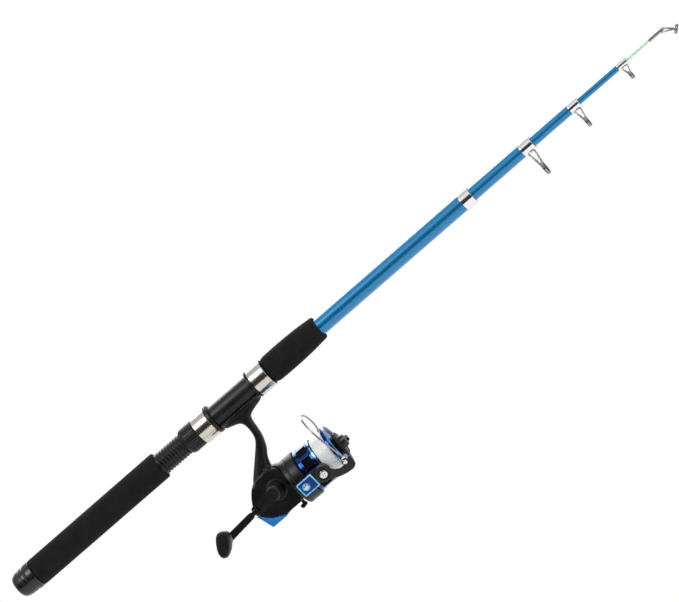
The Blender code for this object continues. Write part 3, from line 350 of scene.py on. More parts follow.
# %% Vacuum-metallised plastic under blue lacquer
# A film of aluminium under tinted lacquer mirrors like metal, so it is deep blue where the room is dark.
blue_plating, tree, shader, where = start_finish("metallised_abs_blue", "#103775", 0.1, 1.0, Coat_Weight=0.3)
ripple = clouds(tree, where, 5)
vary_colour(tree, shader, ripple, "#0c2e68", "#154386")
vary_roughness(tree, shader, ripple, 0.06, 0.16)
bump(tree, shader, ripple, 0.03)
print(blue_plating.name)

# %% The same plating, paler, as a painted highlight on edges
# Rims and edges get this pale blue as a painted highlight, standing in for the bright reflections along them.
painted_highlight_plating, tree, shader, where = start_finish("metallised_abs_blue_painted_highlight", "#6dbcf4", 0.12, 1.0)
ripple = clouds(tree, where, 3)
vary_colour(tree, shader, ripple, "#56aef0", "#9ad6ff")
vary_roughness(tree, shader, ripple, 0.08, 0.2)
bump(tree, shader, ripple, 0.01)
print(painted_highlight_plating.name)

# %% Pearl blue plastic for the tail cover
pearl_blue, tree, shader, where = start_finish("pearl_abs_blue", "#2f97f2", 0.32, 0.25, Coat_Weight=0.4)
pearl = clouds(tree, where, 1.2, 5.0)
vary_colour(tree, shader, pearl, "#2385e6", "#46aaff")
bump(tree, shader, pearl, 0.015)
print(pearl_blue.name)

# %% Nylon line, wound on the spool
# The line is 0.25 mm thick. Its turns are drawn 0.6 mm apart and slightly crossed, as a reel lays them.
nylon, tree, shader, where = start_finish("wound_nylon_line", "#f2f4f5", 0.32, IOR=1.53)
turns = add_node(
    tree,
    "TexWave",
    {"bands_direction": "X"},
    {"Vector": where, "Scale": PER_MM / 0.6 / math.tau, "Distortion": 1.2, "Detail Scale": 0.8},
)
vary_colour(tree, shader, turns.outputs["Fac"], "#e4e8ea", "#fcfcfa", 0.1, 0.8)
bump(tree, shader, turns.outputs["Fac"], 0.08)
print(nylon.name)

# %% [markdown]
# ## Making meshes
#
# Nearly everything here is turned, pressed, lofted or drawn as wire, like the real pieces. Each tool
# below makes one closed shell in millimetres and merges it into the piece that is being made. A piece
# is then scaled to metres, given its finish, and set on the body that it moves with.

# %% Places: each is a matrix from a piece's own axes to the model's
MM = 0.001
ALONG_Y = Matrix.Rotation(math.pi / 2, 4, "Z")
AGAINST_Y = Matrix.Rotation(-math.pi / 2, 4, "Z")
AGAINST_Z = Matrix.Rotation(math.pi / 2, 4, "Y")
HERE = Matrix()


def at(x, y, z):
    return Matrix.Translation((x, y, z))


REEL_Z = -83.0
BAIL_X = 261.8
REEL = at(0, 0, REEL_Z)
ROTOR = REEL @ Matrix.Rotation(math.radians(18.5), 4, "X")
BAIL = ROTOR @ at(BAIL_X, 0, 0)
ROLLER = BAIL @ at(19.7, 0, -4.4)
GEAR = at(221.0, 0, -77.4)
CRANK = GEAR @ Matrix.Rotation(math.radians(-4.8), 4, "Y")
FOLD = CRANK @ at(-18.5, -33.75, 0)
KNOB = FOLD @ at(-34.0, 0, 0) @ Matrix.Rotation(math.radians(42), 4, "Y")
LEVER = at(0, 5.0, -93.8)
print("the crank's knob is at", [round(v, 1) for v in KNOB.translation])


# %% Outlines and profiles that come back
def pin(start, end, radius):
    """The profile of a solid pin, or of the hole that it fits."""
    return [(start, 0), (start, radius), (end, radius), (end, 0)]


def collar(start, end, inner, outer):
    """The profile of a plain ring."""
    return [(start, inner), (start, outer), (end, outer), (end, inner)]


def oblong(left, low, right, high):
    """A rectangle's four corners."""
    return [(left, low), (right, low), (right, high), (left, high)]


def arc(radius, middle, half, steps):
    """Points of an arc round the origin, which reaches half degrees to each side of its middle."""
    angles = [math.radians(middle + half * (2 * step / steps - 1)) for step in range(steps + 1)]
    return [(radius * math.cos(a), radius * math.sin(a)) for a in angles]


def squarer(value, power):
    """Moves a sine or cosine away from zero, which makes a ring squarer than an ellipse."""
    return math.copysign(abs(value) ** power, value)


print("a pin of 1 x 2 mm:", pin(0, 2, 0.5))


# %% Merging a shell, bridging rings, and rounding an outline
def merge(target, part, place):
    """Adds a finished shell to the piece, at its place."""
    bmesh.ops.recalc_face_normals(part, faces=part.faces)
    part.transform(place)
    mesh = bpy.data.meshes.new("part")
    part.to_mesh(mesh)
    part.free()
    target.from_mesh(mesh)
    bpy.data.meshes.remove(mesh)


def bridge(part, first, second):
    """Faces between two rings of points. A ring may be a single point on the axis."""
    count = max(len(first), len(second))
    for index in range(count):
        following = (index + 1) % count
        if len(first) == 1:
            part.faces.new((first[0], second[following], second[index]))
        elif len(second) == 1:
            part.faces.new((first[index], first[following], second[0]))
        else:
            part.faces.new((first[index], first[following], second[following], second[index]))


def rounded(points, radius, steps=4, closed=True):
    """Turns each corner of an outline into a short curve. An open outline keeps its two ends."""
    made = []
    for index, point in enumerate(points):
        if not closed and index in (0, len(points) - 1):
            made.append(Vector(point))
            continue
        corner = Vector(point)
        before = Vector(points[index - 1]) - corner
        after = Vector(points[(index + 1) % len(points)]) - corner
        start = corner + before.normalized() * min(radius, before.length * 0.45)
        end = corner + after.normalized() * min(radius, after.length * 0.45)
        for step in range(steps + 1):
            t = step / steps
            made.append(start * (1 - t) ** 2 + corner * 2 * t * (1 - t) + end * t * t)
    return made


# %% Turning, pressing, lofting and drawing wire
def turn(target, profile, place=HERE, sides=96, soften=0.25, shape=None):
    """Turns (along, radius) points about X. A profile off the axis closes into a ring."""
    on_axis = profile[0][1] == 0
    profile = rounded(profile, soften, closed=not on_axis) if soften else profile
    part = bmesh.new()
    rings = []
    for along, radius in profile:
        if radius < 1e-6:
            rings.append([part.verts.new((along, 0, 0))])
            continue
        ring = []
        for side in range(sides):
            angle = math.tau * side / sides
            reach = shape(along, angle, radius) if shape else radius
            ring.append(part.verts.new((along, reach * math.cos(angle), reach * math.sin(angle))))
        rings.append(ring)
    if not on_axis:
        rings.append(rings[0])
    for first, second in zip(rings, rings[1:]):
        bridge(part, first, second)
    merge(target, part, place)


def loft(target, rings, place=HERE):
    """A skin over rings of points, closed at both ends."""
    part = bmesh.new()
    made = [[part.verts.new(point) for point in ring] for ring in rings]
    for first, second in zip(made, made[1:]):
        bridge(part, first, second)
    part.faces.new(made[0])
    part.faces.new(made[-1])
    merge(target, part, place)


def press(target, outline, low, high, place=HERE, along="Y", soften=0.0, edge=0.0):
    """A plate: an outline of two coordinates, from low to high along the third axis, with its rim rounded."""
    outline = rounded(outline, soften) if soften else outline
    axis = "XYZ".index(along)
    part = bmesh.new()
    loops = []
    for level in (low, high):
        points = [list(point) for point in outline]
        for point in points:
            point.insert(axis, level)
        loops.append([part.verts.new(point) for point in points])
    bridge(part, *loops)
    caps = [part.faces.new(loop) for loop in loops]
    if edge:
        rim = {made for cap in caps for made in cap.edges}
        bmesh.ops.bevel(part, geom=list(rim), offset=edge, segments=3, profile=0.5, affect="EDGES")
    merge(target, part, place)


def smooth_route(points, steps=6):
    """A curve through the points, with short straight steps."""
    points = [Vector(point) for point in points]
    ends = [points[0] * 2 - points[1], *points, points[-1] * 2 - points[-2]]
    made = []
    for a, b, c, d in zip(ends, ends[1:], ends[2:], ends[3:]):
        for step in range(steps):
            t = step / steps
            bend = 2 * b + (c - a) * t + (2 * a - 5 * b + 4 * c - d) * t**2
            made.append(0.5 * (bend + (3 * b - a - 3 * c + d) * t**3))
    return [*made, points[-1]]


def draw_wire(target, route, radius, place=HERE, sides=14, steps=6):
    """A round wire along a smooth route. Each ring leans with the route and doesn't twist."""
    route = smooth_route(route, steps)
    side = Vector((0.31, 0.53, 0.79))
    rings = []
    for index, point in enumerate(route):
        along = route[min(index + 1, len(route) - 1)] - route[max(index - 1, 0)]
        along.normalize()
        side = (side - along * side.dot(along)).normalized()
        across = along.cross(side)
        angles = [math.tau * step / sides for step in range(sides)]
        rings.append([point + (side * math.cos(a) + across * math.sin(a)) * radius for a in angles])
    loft(target, rings, place)


# %% Finishing a piece
def as_object(name, bm):
    """The piece as an object in metres."""
    bm.transform(Matrix.Scale(MM, 4))
    mesh = bpy.data.meshes.new(name)
    bm.to_mesh(mesh)
    bm.free()
    made = bpy.data.objects.new(name, mesh)
    bpy.context.scene.collection.objects.link(made)
    return made


def settle(piece):
    """Applies the piece's modifiers."""
    graph = bpy.context.evaluated_depsgraph_get()
    mesh = bpy.data.meshes.new_from_object(piece.evaluated_get(graph))
    piece.modifiers.clear()
    piece.data = mesh


def carve(piece, cutter, joins=False):
    """Cuts a shape out of the piece. With joins, shells that overlap in the piece become one first."""
    tool = as_object("cutter", cutter)
    cut = piece.modifiers.new("cut", "BOOLEAN")
    cut.object = tool
    cut.operation = "DIFFERENCE"
    cut.solver = "EXACT"
    cut.use_self = joins
    settle(piece)
    bpy.data.objects.remove(tool)


def dress(piece, finish, body, stands_for=(), angle=38):
    """Gives a piece its finish and its body, and names the solids that it is shown in place of."""
    piece.data.materials.clear()
    piece.data.materials.append(finish)
    piece.data.shade_smooth()
    piece.data.set_sharp_from_angle(angle=math.radians(angle))
    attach(piece, body)
    if stands_for:
        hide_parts(*stands_for)
    print(f"{piece.name}: {len(piece.data.polygons)} faces, rides on {body}")
    return piece


def second_finish(piece, finish, chosen):
    """Gives the chosen faces of a piece another finish."""
    piece.data.materials.append(finish)
    for face in piece.data.polygons:
        if chosen(face):
            face.material_index = len(piece.data.materials) - 1


def turned(name, profile, finish, body, node, place=HERE, sides=96, soften=0.25, shape=None, angle=38):
    """A piece that the lathe makes in one go."""
    bm = bmesh.new()
    turn(bm, profile, place, sides, soften, shape)
    return dress(as_object(name, bm), finish, body, [node], angle)


def drill(piece, start, end, radius, place, sides=32, joins=False):
    """Drills a round hole along X of its place."""
    cutter = bmesh.new()
    turn(cutter, pin(start, end, radius), place, sides, soften=0.0)
    carve(piece, cutter, joins)


def mill(piece, outline, low, high, place=HERE, along="Y", soften=0.0, joins=False):
    """Cuts a recess or a slot with the outline of a plate."""
    cutter = bmesh.new()
    press(cutter, outline, low, high, place, along, soften)
    carve(piece, cutter, joins)


def cross_slot(piece, place, reach, depth, width):
    """Cuts a cross slot into a screw head whose outer face is at x = 0 of its place."""
    bar = oblong(-reach, -width / 2, reach, width / 2)
    for quarter in (0.0, math.pi / 2):
        mill(piece, bar, -depth, 0.5, place @ Matrix.Rotation(quarter + 0.4, 4, "X"), "X")


def slotted_screw(name, profile, place, slot, body, stands_for=(), sides=48, soften=0.15):
    """A screw whose profile ends at the middle of its head, with a cross slot there."""
    bm = bmesh.new()
    turn(bm, profile, place, sides, soften)
    head = as_object(name, bm)
    cross_slot(head, place @ at(profile[-1][0], 0, 0), *slot)
    dress(head, screw_steel, body, stands_for)


print("tools ready")

# %% [markdown]
# ## The handle
#
# The butt cap is a moulded plug. The two grips are tubes of EVA foam, slid over the blank and ground
# to shape, so they are turned profiles with soft rims.

# %% Butt cap
cap = [(0, 0), (0, 8.0), (1.4, 9.8), (4.5, 11.0), (8.0, 11.5), (8.4, 11.1), (9.2, 11.1), (9.6, 11.6)]
cap += [(12.0, 11.7), (12.4, 11.3), (13.2, 11.3), (13.6, 11.8), (14.6, 12.1), (20.0, 12.1), (20.0, 6.6)]
cap += [(33.0, 5.9), (33.0, 0)]
turned("butt_cap_moulding", cap, gloss_abs, "rod_handle", "butt_cap", soften=0.5)

# %% Foam grips
rear = [(20.4, 7.8), (20.4, 12.15), (158.9, 12.2), (158.9, 7.8)]
rear_grip = turned("rear_grip_foam", rear, eva_foam, "rod_handle", "rear_grip", soften=1.3)

fore = [(278.4, 7.8), (278.4, 11.2), (282.0, 12.2), (292.0, 12.35), (305.0, 12.3), (318.0, 11.8)]
fore += [(333.9, 10.5), (333.9, 7.8)]
fore_grip = turned("fore_grip_foam", fore, eva_foam, "rod_handle", "fore_grip", soften=1.4)

# %% [markdown]
# ## The reel seat
#
# The seat is a moulded tube. Its rear half is a thread of 3 mm pitch, and a screw's thread can't be
# turned as rings: here a function gives the radius at each place along and around the tube, so the
# ridge climbs one pitch in each turn. The nut's grip is made in the same way, with ribs that run along.

# %% Threaded tube with the fixed hood's core
PITCH = 3.0
THREAD_START, THREAD_END = 160.4, 203.0


def thread(along, angle, radius):
    """Rounded ridges that climb one pitch in each turn, and fade out at both ends."""
    if radius < 9.0 or not THREAD_START < along < THREAD_END:
        return radius
    fade = min(1.0, (along - THREAD_START) / 1.5, (THREAD_END - along) / 1.5)
    wave = 0.5 - 0.5 * math.cos(math.tau * along / PITCH - angle)
    return radius - 0.8 * fade * wave**1.4


bm = bmesh.new()
seat = [(159.4, 7.8)] + [(159.4 + 0.25 * step, 9.75) for step in range(176)]
seat += [(261.0, 9.8), (261.0, 12.5), (262.6, 12.5), (262.6, 11.5), (277.9, 11.5), (277.9, 7.8)]
turn(bm, seat, soften=0.0, shape=thread)
reel_seat = as_object("reel_seat_tube", bm)
foot_pocket = arc(11.95, -90, 45, 12) + arc(9.82, -90, 45, 12)[::-1]
mill(reel_seat, foot_pocket, 260.0, 273.2, along="X")
dress(reel_seat, satin_abs, "rod_handle", ["reel_seat"])


# %% Ribbed locking nut
NUT_RIBS = 36


def nut_ribs(along, angle, radius):
    """Flat-topped ribs, which run out at the nut's bevelled rear end."""
    if radius < 10.2:
        return radius
    wave = max(0.0, math.cos(angle * NUT_RIBS)) ** 0.6
    return radius - 0.45 * wave * min(1.0, (along - 187.2) / 2.5, (201.0 - along) / 1.2 + 0.1)


nut = [(187.1, 10.0), (187.1, 10.4), (188.6, 11.2), (190.0, 11.55)]
nut += [(190.0 + step, 11.6) for step in range(1, 11)] + [(200.9, 11.4), (201.1, 10.9), (201.1, 10.0)]
turned(
    "locking_nut_ribbed", nut, satin_abs, "locking_nut", "locking_nut",
    sides=8 * NUT_RIBS, soften=0.0, shape=nut_ribs,
)

# %% [markdown]
# ## The hoods
#
# Each hood clamps one end of the reel's foot. A thin stainless sleeve is pressed over a moulded core,
# and a black lip stands proud of it on the side of the reel. The sleeves mirror everything around them,
# so their rims are rolled over a little, which catches a line of light.

# %% Sliding hood
bm = bmesh.new()
core = [(201.5, 10.0), (201.5, 11.5), (216.0, 11.5), (216.0, 12.9), (219.0, 12.9), (219.0, 10.0)]
turn(bm, core, soften=0.6)
core = as_object("sliding_hood_lip", bm)
mill(core, foot_pocket, 206.0, 220.0, along="X")
dress(core, satin_abs, "sliding_hood", ["sliding_hood_core"])


def hood_sleeve(name, start, end, body, node):
    """A thin sleeve whose two rims are rolled over."""
    sleeve = [(start, 11.9), (start, 12.25), (start + 0.7, 12.4)]
    sleeve += [(end - 0.7, 12.4), (end, 12.25), (end, 11.9)]
    turned(name, sleeve, hood_steel, body, node, sides=160, soften=0.3)


hood_sleeve("sliding_hood_shell", 201.8, 215.7, "sliding_hood", "sliding_hood_sleeve")
hood_sleeve("fixed_hood_shell", 263.0, 277.4, "rod_handle", "fixed_hood_sleeve")

# %% [markdown]
# ## The blanks
#
# Each section is a tube of glass fibre rolled on a mandrel, with a wider base that jams inside the
# mouth of the section before it. All of each tube is made, because the hidden part shows when a section
# is pushed in or pulled out.

# %% Four tubes and the solid tip
# Name, body, ends of the tube, where its band starts, then radii: outside, flared base, bore, mouth, seat.
SECTIONS = (
    ("section_1", "rod_handle", 20.3, 499.5, 489.0, 7.4, 7.4, 6.55, 6.0, 7.0),
    ("section_2", "section_2", 94.0, 564.0, 552.5, 5.8, 6.35, 5.0, 4.45, 5.4),
    ("section_3", "section_3", 148.5, 613.5, 603.5, 4.3, 4.8, 3.6, 2.85, 3.9),
    ("section_4", "section_4", 204.5, 664.5, 654.5, 2.65, 3.4, 1.9, 1.35, 2.3),
)
for name, body, base, tip, band, outer, flare, bore, mouth, seat_r in SECTIONS:
    tube = [(base, bore), (base, flare), (base + 20, flare), (base + 24, outer), (band, outer)]
    tube += [(band, seat_r), (tip, seat_r), (tip, mouth), (tip - 20, mouth), (tip - 24, bore)]
    turned(f"{name}_tube", tube, lacquer, body, f"blank_{name}", soften=0.15)

tip = [(250, 0), (250, 1.6), (270, 1.6), (274, 1.1), (687.6, 1.05), (687.7, 0.8), (700, 0.75), (700, 0)]
turned("solid_tip", tip, glow_tip, "tip", "tip_section", sides=32, soften=0.2)

# %% [markdown]
# ## Ferrules and guides
#
# A plated band strengthens the mouth of each section. On three of them it also carries a line guide:
# two wires run down from the band's ends, one on each side, and hold a ring with a ceramic insert.
# Wire bends with a radius, so each leg is drawn along a smooth route instead of straight runs.


# %% Bands
def band(bm, start, end, outer, seat_r):
    """A band with a small rolled bead at each rim."""
    ring = [(start + 0.2, seat_r + 0.2), (start + 0.2, outer - 0.1), (start + 0.8, outer)]
    ring += [(end - 0.7, outer), (end, outer - 0.1), (end, seat_r + 0.2)]
    turn(bm, ring, soften=0.2)


bm = bmesh.new()
band(bm, 489.0, 499.5, 7.9, 7.0)
dress(as_object("ferrule_1_band", bm), band_chrome, "rod_handle", ["ferrule_1"])


# %% Ceramic inserts
def ceramic_insert(name, place, half, groove, depth, outer, inner, soften, body, node):
    """A ring with a groove round it for the wire ring, and a bore that is rounded for the line."""
    floor_r = outer - depth
    insert = [(-half, outer), (-groove, outer), (-groove, floor_r), (groove, floor_r), (groove, outer)]
    insert += [(half, outer), (half - 0.1, inner + 0.5), (0.5, inner), (-0.5, inner)]
    insert += [(0.1 - half, inner + 0.5)]
    turned(name, insert, ceramic, body, node, place, 64, soften)


# %% Guides on sections 2, 3 and 4
# Number, body, ends of the band, its outer and inner radius, the ring's place, depth and radius.
GUIDES = (
    (1, "section_2", 552.5, 564.0, 6.4, 5.4, 558.3, 22.0, 6.5),
    (2, "section_3", 603.5, 613.5, 4.8, 3.9, 608.5, 16.2, 5.2),
    (3, "section_4", 654.5, 664.5, 3.2, 2.3, 659.5, 11.0, 4.0),
)
for index, body, start, end, outer, seat_r, x, depth, ring_r in GUIDES:
    bm = bmesh.new()
    band(bm, start, end, outer, seat_r)
    band_faces = len(bm.faces)
    place = at(x, 0, -depth)
    turn(bm, collar(-0.9, 0.9, ring_r - 0.9, ring_r), place, 64, 0.4)
    spread = 3.0 * (0.8 + 0.2 * ring_r / 6.5)
    for side in (-1, 1):
        for way in (-1, 1):
            foot = (x + way * spread, side * 1.2, -(outer - 0.4))
            waist = (x + way * (spread * 0.62 + 0.3), side * (ring_r * 0.55), -(outer + depth - ring_r) * 0.5)
            shoulder = (x + way * 0.9, side * (ring_r - 0.7), -depth + ring_r * 0.55)
            meet = (x + way * 0.4, side * (ring_r - 0.25), -depth)
            draw_wire(bm, [foot, waist, shoulder, meet], 0.58)
    guide = dress(as_object(f"guide_{index}_wires", bm), wire_steel, body, [f"guide_{index}_frame"])
    second_finish(guide, band_chrome, lambda face: face.index < band_faces)
    name, node = f"guide_{index}_insert", f"guide_{index}_ring"
    ceramic_insert(name, place, 1.5, 0.95, 0.7, ring_r - 0.3, ring_r - 1.9, 0.3, body, node)

# %% Tip top
TIP_RING = at(710.5, 0, -7.2) @ Matrix.Rotation(math.radians(48), 4, "Y")
bm = bmesh.new()
turn(bm, [(688.0, 1.0), (688.0, 1.5), (703.5, 1.45), (703.5, 1.0)], sides=32, soften=0.15)
turn(bm, collar(-0.7, 0.7, 3.3, 4.1), TIP_RING, 64, 0.3)
for side in (-1, 1):
    meet = TIP_RING @ Vector((0, side * 3.8, 0))
    for start in (Vector((698.5, side * 0.6, -1.2)), Vector((702.0, side * 1.0, 0.8))):
        bend = start.lerp(meet, 0.55) + Vector((0, side * 0.7, 0.4))
        draw_wire(bm, [start, bend, meet], 0.6)
dress(as_object("tip_top_wires", bm), wire_steel, "tip", ["tip_top_frame"])
ceramic_insert("tip_top_insert", TIP_RING, 1.2, 0.75, 0.6, 3.8, 2.1, 0.25, "tip", "tip_top_ring")

# %% [markdown]
# ## The reel's body
#
# Foot, stem and case are one moulding, and the mould leaves no sharp inner corners. So its parts are
# made as overlapping shells and then remeshed: a remesh wraps them all in one even skin, and a little
# smoothing turns the joints between them into the fillets of a real moulding. The room for the gears
# is cut afterwards, so its walls stay crisp.

# %% Shells of the body
CASE = [(233.4, -66.0), (233.4, -97.8), (215.0, -97.8), (203.0, -92.5), (193.8, -82.8)]
CASE += [(196.6, -74.5), (201.0, -68.0), (208.0, -61.2), (229.0, -60.0)]
# Height, rear and front edge, and half the width of each ring of the stem.
STEM = (
    (-10.8, 219.6, 260.4, 4.6),
    (-13.2, 221.2, 257.5, 4.5),
    (-16.5, 230.5, 245.5, 4.4),
    (-20.5, 234.0, 242.0, 4.4),
    (-29.0, 234.4, 240.8, 4.5),
    (-36.2, 232.0, 239.6, 4.7),
    (-45.0, 223.6, 236.2, 5.0),
    (-52.4, 216.0, 231.3, 5.5),
    (-60.0, 208.5, 229.0, 6.2),
    (-67.0, 203.5, 231.0, 7.2),
)


def stem_ring(middle, half_x, half_y, z, points=40, power=0.72):
    """A level ring that is a little squarer than an ellipse."""
    ring = []
    for step in range(points):
        angle = math.tau * step / points
        x = middle + half_x * squarer(math.cos(angle), power)
        ring.append((x, half_y * squarer(math.sin(angle), power), z))
    return ring


bm = bmesh.new()
rows = smooth_route([(z, (rear + front) / 2, (front - rear) / 2) for z, rear, front, half in STEM], 5)
widths = smooth_route([(z, half, 0) for z, rear, front, half in STEM], 5)
loft(bm, [stem_ring(row.y, row.z, width.y, row.x) for row, width in zip(rows, widths)])
press(bm, CASE, -11.4, 8.0, soften=3.5, edge=2.2)
turn(bm, pin(232.8, 240.7, 16.4), REEL, soften=0.5)
foot = arc(11.5, -90, 42, 20) + arc(10.15, -90, 42, 20)[::-1]
press(bm, foot, 206.6, 272.4, along="X")
turn(bm, [(6.0, 0), (6.0, 9.6), (10.9, 9.2), (11.8, 8.4), (11.8, 0)], GEAR @ AGAINST_Y, soften=0.6)
web = [(222.0, -58.0), (231.5, -60.5), (237.0, -66.5), (236.0, -74.0), (222.0, -74.0)]
press(bm, web, -7.5, 6.5, soften=2.5, edge=1.5)
body = as_object("reel_body_moulding", bm)

SKIN_CELL = 0.42 * MM
skin = body.modifiers.new("skin", "REMESH")
skin.mode = "VOXEL"
skin.voxel_size = SKIN_CELL
settle(body)
even = body.modifiers.new("even", "SMOOTH")
even.factor, even.iterations = 0.5, 5
settle(body)
print("body skin:", len(body.data.polygons), "faces")

# %% Room for the gears, the bearing, the bush and the lever
BUSH_SEAT = 5.2
CAVITY = [(232.5, -67.0), (232.5, -95.6), (215.5, -95.6), (204.5, -90.8), (196.6, -82.5)]
CAVITY += [(198.8, -75.5), (202.6, -69.7), (209.0, -63.6), (227.8, -62.4)]
mill(body, CAVITY, -9.3, 12.0)
bm = bmesh.new()
bore = [(231.5, 0), (231.5, 12.8), (233.9, 12.8), (233.9, 3.0), (234.6, 3.0), (234.6, 5.3), (237.2, 5.3)]
turn(bm, [*bore, (237.2, 14.3), (245.0, 14.3), (245.0, 0)], REEL, 64, soften=0.0)
carve(body, bm)
drill(body, 8.0, 14.0, BUSH_SEAT, GEAR @ AGAINST_Y, 48)
mill(body, oblong(226.2, -100.5, 230.0, -95.0), 3.2, 8.6)
drill(body, 225.0, 242.0, 1.6, LEVER)
dress(body, satin_abs, "rod_handle", ["reel_body"], angle=45)

# %% [markdown]
# ## Covers of the case
#
# The far side of the case is closed by a flat cover with two screws. A pearl blue cap wraps its tail.
# Both are pressed plates with a rounded rim, because a moulded cover is a plate with a rounded rim.

# %% Side cover, its rim and its screws
COVER_FRONT = 232.5
PANEL_SCALE = 0.86
bm = bmesh.new()
cover_outline = [(min(x, COVER_FRONT), z) for x, z in CASE]
press(bm, cover_outline, 8.3, 10.5, soften=3.0, edge=1.2)
inset_x, inset_z = 215.0 * (1 - PANEL_SCALE), -80.0 * (1 - PANEL_SCALE)
raised = [(x * PANEL_SCALE + inset_x, z * PANEL_SCALE + inset_z) for x, z in cover_outline]
press(bm, raised, 9.6, 10.8, soften=3.0, edge=0.35)
cover = as_object("side_cover_plate", bm)
drill(cover, 6.0, 13.0, BUSH_SEAT, GEAR @ ALONG_Y, 48)
dress(cover, satin_abs, "rod_handle", ["side_cover"])

SCREW = [(-1.0, 0), (-1.0, 1.8), (-0.4, 1.8), (-0.05, 1.0), (0, 0)]
for index, (x, z) in enumerate(((206.0, -66.5), (229.0, -94.0)), 1):
    name, place = f"cover_screw_{index}", at(x, 12.1, z) @ ALONG_Y
    slotted_screw(f"{name}_head", SCREW, place, (1.1, 0.5, 0.4), "rod_handle", [name])

# %% Tail cap
bm = bmesh.new()
TAIL = [(193.6, -83.4), (202.7, -92.9), (214.8, -98.2), (213.5, -99.0), (198.5, -99.0)]
press(bm, TAIL, -11.2, 10.5, soften=0.8, edge=1.2)
dress(as_object("tail_cap", bm), pearl_blue, "rod_handle", ["tail_cover"])

# %% Anti-reverse lever
bm = bmesh.new()
turn(bm, pin(226.8, 240.1, 1.3), LEVER, 32, soften=0.2)
press(bm, oblong(-1.1, 0.4, 1.1, -8.0), 226.8, 229.4, LEVER, "X", soften=0.4, edge=0.3)
thumb = [(223.6, -8.2), (224.4, -6.4), (230.0, -6.4), (230.0, -9.2), (225.0, -10.2)]
press(bm, thumb, -1.7, 1.7, LEVER, soften=0.9, edge=0.4)
dress(as_object("anti_reverse_thumb", bm), satin_abs, "anti_reverse_lever", ["anti_reverse_lever"])

# %% [markdown]
# ## The rotor
#
# The rotor is a cup that turns round the spool. Two arms reach forward from its rim, and each carries a
# metallised cover with one screw. The cup is turned and the arms are pressed, and both ride on the body
# that the crank turns five times for each turn of its own.

# %% Cup and arms
SCREW_HOLE = 2.1
bm = bmesh.new()
cup = [(241.3, 2.6), (241.3, 17.2), (234.0, 17.2), (234.0, 20.4), (235.2, 21.3), (238.5, 21.3), (238.9, 20.9)]
cup += [(239.7, 20.9), (240.1, 21.3), (247.2, 21.3), (247.8, 20.4), (247.8, 18.0), (257.0, 18.0)]
turn(bm, [*cup, (257.0, 16.6), (243.8, 16.6), (243.8, 2.6)], ROTOR, 128, soften=0.4)
arm = [(236.0, -6.4), (252.0, -6.4)] + [(BAIL_X + x, z) for x, z in arc(6.6, 0, 80, 16)]
arm += [(252.0, 6.4), (236.0, 6.4)]
rib = [(248.0, -5.2), (256.0, -4.2), (256.0, 4.2), (248.0, 5.2)]
for side in (-1, 1):
    press(bm, arm, *sorted((side * 20.1, side * 24.0)), ROTOR, edge=0.5)
    press(bm, rib, *sorted((side * 18.9, side * 20.4)), ROTOR, soften=1.0, edge=0.3)
rotor = as_object("rotor_cup", bm)
drill(rotor, -30, 30, SCREW_HOLE, BAIL @ ALONG_Y, joins=True)
dress(rotor, satin_abs, "rotor", ["rotor"])

# %% Arm covers and their screws
# The rim and the collar get the pale plating as a painted highlight; the panel between them keeps the deep
# blue.
ARM_SCREW_X = 243.5
plate = oblong(237.6, -6.5, 253.4, 6.5)
panel = oblong(238.7, -5.4, 252.3, 5.4)
for side, word, outward in ((-1, "near", AGAINST_Y), (1, "far", ALONG_Y)):
    bm = bmesh.new()
    press(bm, plate, *sorted((side * 24.3, side * 25.6)), ROTOR, soften=0.9, edge=0.55)
    rim_faces = len(bm.faces)
    press(bm, panel, *sorted((side * 25.3, side * 25.75)), ROTOR, soften=0.7, edge=0.1)
    panel_faces = len(bm.faces)
    turn(bm, collar(24.6, 25.8, 2.3, 3.3), ROTOR @ at(ARM_SCREW_X, 0, 0) @ outward, 48, soften=0.2)
    cover = dress(as_object(f"arm_cover_{word}_plate", bm), blue_plating, "rotor", [f"arm_cover_{word}"])
    # The rim plate and the screw collar get the pale plating as a painted highlight.
    second_finish(cover, painted_highlight_plating, lambda face: not rim_faces <= face.index < panel_faces)
    screw = [(-1.0, 0), (-1.0, 2.0), (-0.5, 2.1), (-0.1, 1.3), (0, 0)]
    place, node = ROTOR @ at(ARM_SCREW_X, side * 26.8, 0) @ outward, f"arm_cover_screw_{word}"
    slotted_screw(f"arm_screw_{word}_head", screw, place, (1.2, 0.5, 0.45), "rotor", [node])

# %% [markdown]
# ## The bail
#
# The bail is the wire gate that lays the line on the spool. It swings on two shouldered screws. On the
# near side a moulded arm carries the line roller, and on the far side the wire ends in a small disc.

# %% Bail arm
bm = bmesh.new()
boss = [(24.3, 2.1), (24.3, 7.2), (28.1, 7.2), (28.6, 6.6), (28.6, 5.0), (28.2, 4.6), (28.2, 2.1)]
turn(bm, boss, BAIL @ AGAINST_Y, 96, soften=0.3)
outline = [(-1.0, -6.6), (4.0, -8.8), (9.0, -11.0), (15.0, -12.7), (21.0, -13.4), (25.2, -11.6), (26.2, -7.0)]
outline += [(25.9, -2.9), (23.8, -2.5), (22.0, -5.4), (18.6, -6.4), (12.8, -6.2), (9.0, -3.6), (6.8, 0.6)]
outline += [(5.0, 4.6), (3.0, 4.6)]
press(bm, outline, -28.5, -26.4, BAIL, soften=1.3, edge=0.6)
seat = [(26.4, 0), (26.4, 2.9), (27.8, 2.9), (28.2, 2.5), (28.2, 0)]
turn(bm, seat, ROLLER @ AGAINST_Y, 48, soften=0.2)
arm = as_object("bail_arm_moulding", bm)
drill(arm, 20, 30, SCREW_HOLE, BAIL @ AGAINST_Y, joins=True)
dress(arm, satin_abs, "bail", ["bail_arm"])

# %% The roller's screw, riveted through the arm
screw = [(27.6, 0), (27.6, 2.0), (28.45, 2.0), (28.85, 1.4), (28.95, 0)]
slotted_screw("roller_screw_head", screw, ROLLER @ AGAINST_Y, (1.1, 0.4, 0.4), "bail", soften=0.2)


